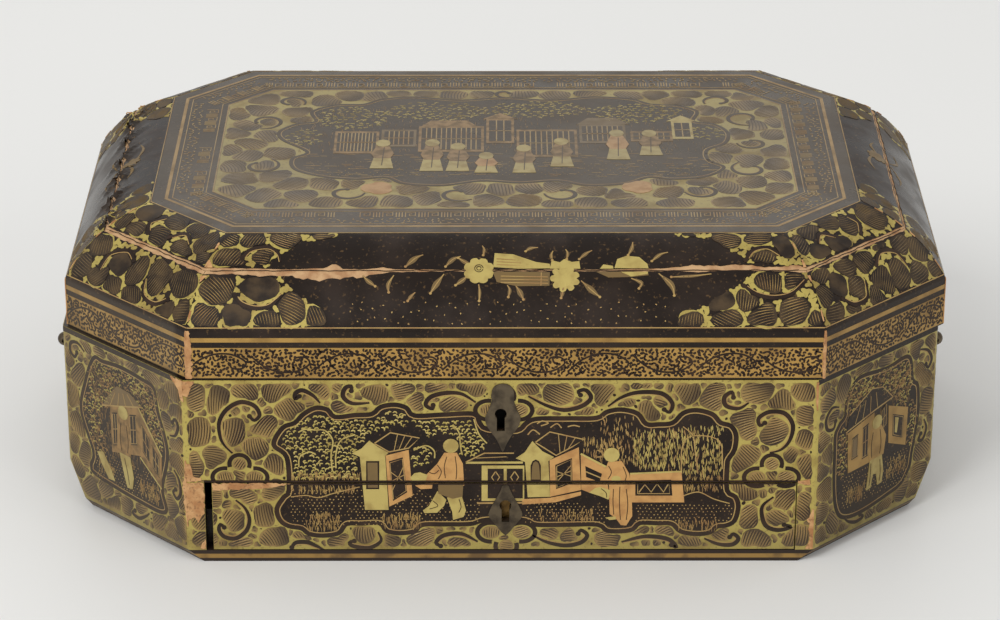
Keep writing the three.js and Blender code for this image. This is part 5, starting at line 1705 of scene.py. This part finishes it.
def front_sprays(rng, paints):
    """Flowers and a scroll of paper on the seam; the tear crosses them."""
    pale, light, brown = paints["pale"], paints["light"], paints["leaf"]
    for u, v, radius, count, jag in ((-10.7, 25.6, 6.1, 8, 0.16), (23.6, 22, 6, 9, 0.26)):
        petals(rng, pale, u, v, radius, count, jag, CUSHION_TOP)
    for radius in (1.7, 0.9):
        line(paints["dark"], [polar((-10.7, 26.6), radius, a / 2) for a in range(13)], 0.3)
    for outline in (
            [(-5, 27.2), (-4.4, 34), (3, 33.4), (12, 29.6), (17.6, 28.6), (17.8, 26.6), (5, 26.4)],
            [(17.6, 26.4), (18.4, 30.4), (21.6, 29.4), (23.4, 31), (26.4, 29.6), (29.4, 30), (29.8, 26.4)],
            [(43.4, 26.6), (44.6, 31), (48.4, 32.6), (53.4, 32), (56.6, 28.6), (57, 26.6)],
            [(37.6, 26.4), (39, 28.4), (42.8, 27.6), (43, 26.4)],
            [(46, 24.8), (50, 22.8), (56.6, 24), (56.8, 25)]):
        plate(pale, outline, CUSHION_TOP)
    for outline in ([(-5.2, 25), (-3.6, 20.4), (4.4, 18.6), (17.4, 18.8), (17.6, 24.8), (6, 25)],
                    [(36, 25), (41, 22.4), (50, 22.6), (57, 23.4), (56.6, 25)]):
        plate(brown, outline, CUSHION_TOP - 0.01)
    for v in (28.4, 29.8, 31.2):
        line(light, [(-3.6, v), (9 - (v - 28) * 1.6, v - 0.6)], 0.3, 0.46)
    for v in (20.2, 21.6, 23):
        line(light, [(-2, v), (16.8, v - 0.4)], 0.35, 0.46)
    line(light, [(14, 18.8), (14.2, 24.6)], 0.4, 0.46)
    for stem, leaf_length in (
            ([(-40, 27.4), (-36, 31.6), (-33, 33.2)], 2), ([(-24, 27.4), (-21, 31), (-18, 32.4)], 1.6),
            ([(-19, 31.6), (-16, 29.4), (-13, 28)], 1.4), ([(-52, 18.6), (-55, 21), (-57, 23.4)], 1.4),
            ([(-46.6, 16), (-46.8, 19.4), (-44.6, 23.4)], 1.2),
            ([(-30, 15.6), (-27.6, 19.6), (-24.6, 24)], 2), ([(-39, 12.4), (-37.6, 14.4), (-36, 16)], 1),
            ([(-20, 19), (-17, 21.4), (-15, 23.4)], 1.6),
            ([(-10.6, 12.4), (-10.4, 16), (-10.8, 19.4)], 0.8), ([(1, 14), (1.6, 17), (0.6, 19)], 1),
            ([(7, 13), (5.4, 16.4), (4, 18.8)], 1.8), ([(22, 13.6), (22.6, 16), (23, 18)], 1.2),
            ([(37.4, 14), (34, 17), (30, 21)], 2), ([(53, 17.6), (54, 20), (50, 22)], 1.2),
            ([(67, 14.6), (66, 19), (61, 24.2)], 2), ([(8, 35), (10, 36.6), (13, 37)], 1.4),
            ([(18.6, 30.4), (18.2, 33), (19, 35.2)], 1), ([(24.4, 31), (24.8, 34), (24, 36)], 0.9),
            ([(29.4, 31), (32.4, 34), (34.6, 35.4)], 1.2), ([(49, 33), (50.6, 36.6), (51, 40)], 1.2),
            ([(58.4, 30), (62, 33.4), (65, 34.4)], 1.2), ([(-9, 33), (-8.6, 36), (-9.4, 38)], 0.8),
            ([(66, 22.6), (74, 23), (82, 24)], 0.8)):
        path = flow(stem, 0.8)
        band(light, path, 0.35, 0.38)
        band(brown, path, lambda t: 0.5 + leaf_length * math.sin(math.pi * min(1, t * 1.1)) ** 2, 0.37)
        dot(light, *path[0], 0.6, CUSHION_TOP)


front_sprays(random.Random(70), cushions[0][0])
end_rng = random.Random(71)
for index in (2, 6):
    dull_leaf = cushions[index][0]["leaf"]
    petals(end_rng, dull_leaf, 4, 31, 5, 7, 0.3, CUSHION_TOP)
    for stem in ([(4, 33), (-6, 36), (-14, 34)], [(6, 30), (14, 33), (20, 31)],
                 [(2, 24), (-8, 20), (-15, 21)], [(5, 24), (12, 19), (20, 20)]):
        band(dull_leaf, flow(stem), lambda t: 0.3 + 1.1 * math.sin(math.pi * t) ** 2, 0.38)
lay_all("lid_front", "lid", cushions[0], cushions[1], cushions[7])
lay_all("lid_back", "lid", *cushions[2:7])

# Top of the lid
# A field of leaves with a lobed garden in it, in two dark borders with gold lines, a key fret and small
# curls. Dust and a painted sheen have greyed it. Two patches have lost their lacquer down to the undercoat.
TOP_FRAME = [
    (-95, 8), (-97, 18), (-90, 27), (-82, 30), (-84, 42), (-74, 50), (-62, 51), (-54, 57), (-40, 60),
    (-20, 56), (0, 59), (20, 56), (40, 60), (56, 57), (64, 51), (76, 49), (84, 42), (82, 30), (91, 26),
    (96, 16), (94, 4), (86, -4), (86, -16), (92, -24), (84, -34), (70, -37), (60, -35), (50, -42),
    (34, -44), (22, -39), (6, -41), (-10, -39), (-26, -44), (-42, -42), (-50, -35), (-62, -37), (-76, -34),
    (-88, -26), (-90, -14), (-84, -6),
]


def octagon_corners(inset):
    long, deep, cut = HALF_LENGTH - inset, HALF_DEPTH - inset, CORNER_CUT - inset * (2 - math.sqrt(2))
    right = [(long - cut, -deep), (long, -deep + cut), (long, deep - cut), (long - cut, deep)]
    corners = right + [(-u, v) for u, v in reversed(right)]
    return corners[1:] + corners[:1]


def octagon_ring(paint, outer, inner, top):
    strip(paint, octagon_corners(inner), octagon_corners(outer), top, closed=True)


def top_place(u, v, h):
    return ((u + LID_SHIFT) * MM, v * MM, (LID_TOP + h) * MM)


def small_figure(paints, u, low, high, robe):
    """A robed figure in a few strokes, with a plain blank head."""
    def place(rows):
        return [(u + across, low + share * (high - low)) for across, share in rows]

    plate(paints["pale"], place([(-5, 0), (5, 0), (3.4, 0.4), (-3.4, 0.4)]), MID + 0.06)
    plate(paints[robe], place([(-4.8, 0.5), (-3.2, 0.34), (3.2, 0.34), (5, 0.5), (2.4, 0.82), (-2.4, 0.82)]),
          MID + 0.07)
    line(paints["dark"], place([(0, 0.1), (0.6, 0.72)]), 0.4, FOLD_TOP)
    dot(paints["pale"], *place([(0, 0.87)])[0], 3.2, 0.53, sides=12, tall=1.3)


def lattice_wall(paints, key, bars, u0, u1, low, high):
    plate(paints[key], rectangle(u0, u1, low, high), MID - 0.02)
    left, right, foot, head_height = u0 + 1.2, u1 - 1.2, low + 2.4, high - 2
    plate(paints["black"], rectangle(left, right, foot, head_height), MID)
    for k in range(1, bars):
        u = left + (right - left) * k / bars
        line(paints["light"], [(u, foot), (u, head_height)], 0.5, 0.46)
    rail = (low + high) / 2
    line(paints["light"], [(left, rail), (right, rail)], 0.5, 0.46)


KEY_FRET = [(0.9, 0.4), (0.9, 5.4), (4.9, 5.4), (4.9, 1.8), (2.5, 1.8), (2.5, 3.8), (3.6, 3.8)]
top = palette()
top_rng = random.Random(80)
for key, outer, inner, height in (("border", 40.2, 41.6, FIELD_TOP), ("light", 43.2, 43.6, FIELD_TOP),
                                  ("light", 56.6, 57, FIELD_TOP), ("light", 59.3, 59.9, 0.32)):
    octagon_ring(top[key], outer, inner, height)
plate(top["ground"], octagon_corners(60), 0.28)
for index in range(8):
    corner, next_corner = octagon_corners(50)[index], octagon_corners(50)[(index + 1) % 8]
    length = math.dist(corner, next_corner)
    along = ((next_corner[0] - corner[0]) / length, (next_corner[1] - corner[1]) / length)
    inward = (-along[1], along[0])
    count = round(length / 9.4)
    pitch = length / count

    def on_border(t, deep):
        return (corner[0] + along[0] * t + inward[0] * deep, corner[1] + along[1] * t + inward[1] * deep)

    for k in range(count):
        start = k * pitch
        if top_rng.random() < 0.15:
            continue
        line(top["light"], [on_border(start + a, b) for a, b in KEY_FRET], 0.5, LEAF_TOP)
        for a in (6.4, 7.6, 8.8):
            line(top["light"], [on_border(start + a, 0.4), on_border(start + a, 5.4)], 0.5, LEAF_TOP)
    curls = Paint()
    dabs(top_rng, curls, (2, -5.6), (length - 2, -1.2), 2.3, 1.9, 0.42, LEAF_TOP)
    for points, faces, shades in curls.strokes:
        top["light"].add([(*on_border(t, deep), h) for t, deep, h in points], faces, shades)
top_room = Room(-124, 124, -72, 72)
top_room.keep_in(octagon_corners(60.9))
garden_frame(top, TOP_FRAME, top_room, 1.6)
for marks in (
        curl((-104, 30), 9, 200, -300), curl((-103, -22), 9, 120, 300), curl((104, 34), 9, -20, 300),
        curl((103, -26), 9, 60, -300), curl((-66, -52), 8, 80, 280), curl((24, -53), 8, 100, -280),
        curl((-20, -54), 8, 60, 260), curl((82, -50), 8, 100, -270), curl((-94, 54), 7, 250, -280),
        curl((94, 55), 7, -70, 280), curl((0, 64), 4.5, 20, 250), curl((106, 4), 7, 100, -280)):
    scroll(top, marks, 1.5, top_room)
for bare_patch in ((-53, -47), (55, -46)):
    petals(top_rng, top["red"], *bare_patch, 7, 3, 0.2, 0.42)
    top_room.block_path([bare_patch], 8)
ground_dots(top_rng, top["light"], -82, 82, -32, -16, 3)
for _ in range(150):
    u, v = top_rng.uniform(-86, 86), top_rng.uniform(-34, -8)
    reach = top_rng.uniform(2, 5)
    line(top["light"], [(u, v), (u + reach, v + top_rng.uniform(-0.4, 0.4))], 0.35, FRAME_TOP)
for crown in (((-66, 34), 16, 14), ((-30, 42), 22, 12), ((14, 44), 24, 10), ((58, 40), 20, 12),
              ((86, 16), 8, 8), ((-86, 10), 8, 10)):
    foliage(top_rng, top, oval(*crown), 3, 1)
grass(top_rng, top["faded"], -88, 88, -8, 46, 700, 0.39, 3.4)
for key, bars, extent, roof in (
        ("faded", 11, (-73, -54, -8, 18), None),
        ("leaf", 6, (-53, -38, 0, 20), None),
        ("faded", 12, (-37, -9, -6, 24), [(-36, 24), (-12, 24), (-16, 31), (-32, 31)]),
        ("faded", 3, (-8, 4, 4, 33), [(-9.4, 33), (5.4, 33), (-2, 40)]),
        ("faded", 10, (5, 31, -12, 20), None),
        ("leaf", 8, (32, 52, 4, 26), [(31, 26), (54, 26), (48, 34), (36, 34)]),
        ("faded", 6, (54, 72, 6, 18), None),
        ("pale", 2, (72, 81, 9, 30), [(70, 30), (83, 30), (76.6, 37)])):
    lattice_wall(top, key, bars, *extent)
    if roof:
        plate(top[key], roof, MID)
for figure in ((-52, -25, 8, "faded"), (-31, -28, 9, "faded"), (-20, -28, 4, "faded"), (-8, -30, -8, "red"),
               (8, -30, 2, "faded"), (24, -23, 10, "faded"), (48, -15, 20, "red"), (62, -10, 19, "faded")):
    small_figure(top, *figure)
leaves(top_rng, top_room, top, spacing=13, gap=0.3, largest=8.6, pitch=1.4, gilded_share=0.2, small=False)
lay_all("lid_top", "lid", (top, top_place, None))

# Worn edges
# The coat has chipped off along arrises, mitres and the drawer's opening, down to the peach undercoat.
WEAR_TOP = 0.5
CANT_EDGE = SIDE_HALF[1]


def chipped(rng, paint, edge, inward, marks, top=WEAR_TOP):
    """A strip of bare undercoat on one side of an upright arris or a mitre. edge gives the edge's place at a
    height, marks are heights and how far the coat is gone there."""
    heights = np.arange(marks[0][0], marks[-1][0] + 0.01, 0.9)
    outer, inner = [], []
    for v in heights:
        width = float(np.interp(v, [m[0] for m in marks], [m[1] for m in marks])) * rng.uniform(0.7, 1.3)
        outer.append((edge(v) - inward * 0.2, v))
        inner.append((edge(v) + inward * max(0.05, width), v))
    strip(paint, *((inner, outer) if inward > 0 else (outer, inner)), top)


def torn_plate(rng, paint, outline):
    """A bare patch whose edge is jagged."""
    rim = []
    for a, b in zip(outline, outline[1:] + outline[:1]):
        count = max(1, round(math.dist(a, b) / 1.2))
        for k in range(count):
            u, v = lerp(a, b, k / count)
            rim.append((u, v) if k == 0 else (u + rng.uniform(-0.35, 0.35), v + rng.uniform(-0.35, 0.35)))
    plate(paint, rim, WEAR_TOP)


wear_rng = random.Random(90)
front_wear, cant_wear, drawer_wear = palette(), palette(), palette()
bare = front_wear["chip"]
for patch in (
        [(-127.2, 36.6), (-121, 36.6), (-121.2, 38), (-124.4, 39), (-125.4, 44.4), (-127.2, 44.6)],
        [(-127.2, 18.6), (-124.4, 20.4), (-122.8, 17.6), (-121.4, 21), (-120.2, 22), (-120.2, 35.8),
         (-127.2, 35.8)],
        [(-122.4, 6), (-120.2, 6), (-120.2, 10), (-121.6, 8.6)],
        [(-127.2, 75), (-125.4, 74.4), (-124, 78), (-122.6, 81.2), (-127.2, 81.2)],
        [(120.2, 35.6), (125.4, 34.8), (124.8, 37.6), (122.6, 36.8), (120.2, 36.7)]):
    torn_plate(wear_rng, bare, patch)
for marks in ([(5.6, 3.4), (9, 1.2), (14, 1.6), (19, 2.2), (24, 0.3)], [(68, 0.2), (74, 0.9), (81, 0.6)]):
    chipped(wear_rng, bare, lambda v: 127, -1, marks)
torn_plate(wear_rng, cant_wear["chip"], [(30.4, 81.2), (37.9, 81.2), (37.9, 72), (36.6, 72.4), (35.4, 76.4)])
chipped(wear_rng, cant_wear["chip"], lambda v: CANT_EDGE, -1,
        [(16, 0.2), (26, 1.6), (34, 2), (38, 0.8), (46, 0.3)])
torn_plate(wear_rng, drawer_wear["chip"], [
    (-116.7, 35.6), (-84.6, 35.6), (-90, 34.4), (-98, 33.2), (-107, 32.8), (-116.7, 32.4)])
lay_all("worn", "case", (front_wear, front_place, None), (cant_wear, wall_face(7), None))
lay_all("worn_drawer", "drawer", (drawer_wear, front_place, None))
MITRE_WEAR = {(0, -1): 2.1, (7, 1): 0.9, (0, 1): 0.8, (1, -1): 0.5}
worn_sides = []
for index in range(8):
    side_wear = palette()
    for side in (-1, 1):
        worn = MITRE_WEAR.get((index, side), 0.25)
        for marks in (
                [(-20.4, 0.8 * worn), (-12, worn), (-3, 0.8 * worn), (0, 0.5 * worn), (1, 0.1)],
                [(20.5, 0.1), (22.5, 0.6 * worn), (24, worn)], [(27, worn), (29, 0.5 * worn), (31, 0.1)],
                [(4, 0.1), (6, 0.25 * worn), (9, 0.1)], [(36, 0.1), (38, 0.3 * worn), (40, 0.1)]):
            chipped(wear_rng, side_wear["chip"], lambda v: side * half_length(index, max(v, 0)), -side, marks,
                    WEAR_TOP if marks[0][0] < 0 else WEAR_TOP + 0.05)
    worn_sides.append((side_wear, cushion_face(index), None))
lay_all("worn_lid", "lid", *worn_sides)

# Parts under the lacquer and inside
# Rails and top board show undercoat on their outer side, in the tear. The inside is black, the drawer is bare
# wood, and the metal is dark with age.
rail_finish = Finish("undercoat_on_rails", Roughness=0.7)
outward = rail_finish.node("ShaderNodeSeparateXYZ", {}, {0: rail_finish.node("ShaderNodeTexCoord", out=1)}, 2)
bared = outward.over(0.05, 0.2) * rail_finish.axis(2).over(110, 111)
rail_cloud = rail_finish.noise(5, 4).over(0.36, 0.7)
rail_finish.feed("Base Color", rail_finish.mix(colour(36, 27, 22), rail_finish.mix(
    colour(196, 158, 114), colour(164, 120, 80), rail_cloud), bared))
rail_finish.bump(rail_finish.noise(2, 4), 0.3, 0.5)

base_finish = Finish("base_edge", Specular_IOR_Level=0.3)
base_height = base_finish.axis(2)
base_line = base_height.over(1.3, 1.6) * base_height.over(3.5, 3.2)
base_dull = base_finish.axis(0).math("ABSOLUTE").over(126.5, 127.5) * 0.6
base_worn = base_finish.noise(9, 4).over(0.44, 0.66)
base_gold = base_finish.mix(base_finish.mix(colour(146, 114, 60), colour(104, 80, 48), base_worn),
                            colour(92, 78, 58), base_dull)
base_finish.feed("Base Color", base_finish.mix(colour(44, 32, 24), base_gold, base_line))
base_finish.feed("Roughness", 0.42 + base_worn * 0.15)


def wood(name, stretch):
    """Bare pale wood with its grain along the stretched axis."""
    finish = Finish(name, Roughness=0.72)
    grain = finish.noise(1.6, 4, stretch).over(0.34, 0.68)
    stain = finish.noise(40, 2).over(0.4, 0.7)
    finish.feed("Base Color", finish.mix(finish.mix(
        colour(168, 126, 84), colour(128, 90, 58), grain), colour(104, 76, 52), stain * 0.35))
    finish.bump(grain, 0.1, 0.4)
    return finish


def metal(name, bright, dull, size, rough):
    finish = Finish(name, Metallic=0.75)
    patina = finish.noise(size, 4).over(0.36, 0.68)
    finish.feed("Base Color", finish.mix(bright, dull, patina))
    finish.feed("Roughness", rough + patina * 0.2)
    finish.bump(finish.noise(1.4, 3), 0.05, 0.3)
    return finish


wood_along_x = wood("bare_wood_across", (0.05, 1, 1))
wood_along_y = wood("bare_wood_deep", (1, 0.05, 1))
brass_finish = metal("aged_brass", colour(158, 124, 68), colour(108, 82, 46), 8, 0.35)
iron_finish = metal("blackened_iron", colour(34, 31, 28), colour(22, 19, 17), 6, 0.5)
bronze_finish = metal("dark_bronze", colour(98, 86, 68), colour(66, 57, 46), 5, 0.42)
bone_finish = Finish("turned_bone", Roughness=0.4)
bone_finish.feed("Base Color", bone_finish.mix(
    colour(226, 212, 180), colour(200, 180, 140), bone_finish.noise(3, 3).over(0.4, 0.7)))

NODE_FINISHES = (
    ("lid_rail_", rail_finish), ("lid_top_board", rail_finish), ("base_board", base_finish),
    ("drawer_left_side", wood_along_y), ("drawer_right_side", wood_along_y),
    ("drawer_lock_case", iron_finish), ("drawer_lock", brass_finish), ("drawer_escutcheon", bronze_finish),
    ("drawer_guide", black_finish), ("drawer_stile", black_finish), ("drawer_front", black_finish),
    ("drawer_", wood_along_x), ("lid_escutcheon", bronze_finish), ("lid_lock_case", iron_finish),
    ("lid_lock", brass_finish), ("lid_strike", brass_finish), ("hinge_", brass_finish),
    ("handle_", bronze_finish), ("tray_knob", bone_finish), ("", black_finish),
)
for name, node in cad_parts.items():
    finish = next(finish for start, finish in NODE_FINISHES if name.startswith(start))
    node.data.materials.clear()
    node.data.materials.append(finish.material)

# Lids of the tray
# The photograph hides the inside. Each lid is painted like the outside: leaves inside a gold border and two
# gold lines, with a black round under the knob.


def inset_outline(outline, amount):
    """A convex outline moved inwards. Its corners run counterclockwise."""
    moved_edges = []
    for a, b in zip(outline, outline[1:] + outline[:1]):
        length = math.dist(a, b)
        inward = (-(b[1] - a[1]) / length, (b[0] - a[0]) / length)
        moved_edges.append(((a[0] + inward[0] * amount, a[1] + inward[1] * amount),
                            (b[0] - a[0], b[1] - a[1])))
    corners = []
    for (p, d), (q, e) in zip(moved_edges[-1:] + moved_edges[:-1], moved_edges):
        t = ((q[0] - p[0]) * e[1] - (q[1] - p[1]) * e[0]) / (d[0] * e[1] - d[1] * e[0])
        corners.append((p[0] + d[0] * t, p[1] + d[1] * t))
    return corners


for side, seed in (("left", 95), ("right", 96)):
    tray_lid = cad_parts[f"tray_lid_{side}"]
    lid_points = [tray_lid.matrix_world @ vert.co / MM for vert in tray_lid.data.vertices]
    lid_z = max(point.z for point in lid_points)
    upper = [(point.x, point.y) for point in lid_points if point.z > lid_z - 0.01]
    rim = counterclockwise([upper[i] for i in convex_hull_2d(upper)])
    rim = [p for p, before in zip(rim, rim[-1:] + rim[:-1]) if math.dist(p, before) > 4]
    knob_low, knob_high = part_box(f"tray_knob_{side}")
    knob = ((knob_low[0] + knob_high[0]) / 2 / MM, (knob_low[1] + knob_high[1]) / 2 / MM)
    tray = palette()
    for inset, width, paint in ((5, 1.2, "border"), (7.6, 0.5, "light"), (14, 0.5, "light")):
        strip(tray[paint], inset_outline(rim, inset + width), inset_outline(rim, inset), 0.1, closed=True)
    tray_room = room_round(rim)
    tray_room.keep_in(inset_outline(rim, 16.5))
    tray_room.block_path([knob], 11)
    plate(tray["ground"], inset_outline(rim, 15.5), 0.06)
    dot(tray["black"], *knob, 10, 0.1, sides=24)
    leaves(random.Random(seed), tray_room, tray, top=0.12, gilded_share=0.4, small=False)
    lay_all(f"tray_lid_{side}", f"{side}_tray_lid",
            (tray, lambda u, v, h: (u * MM, v * MM, (lid_z + h) * MM), None))
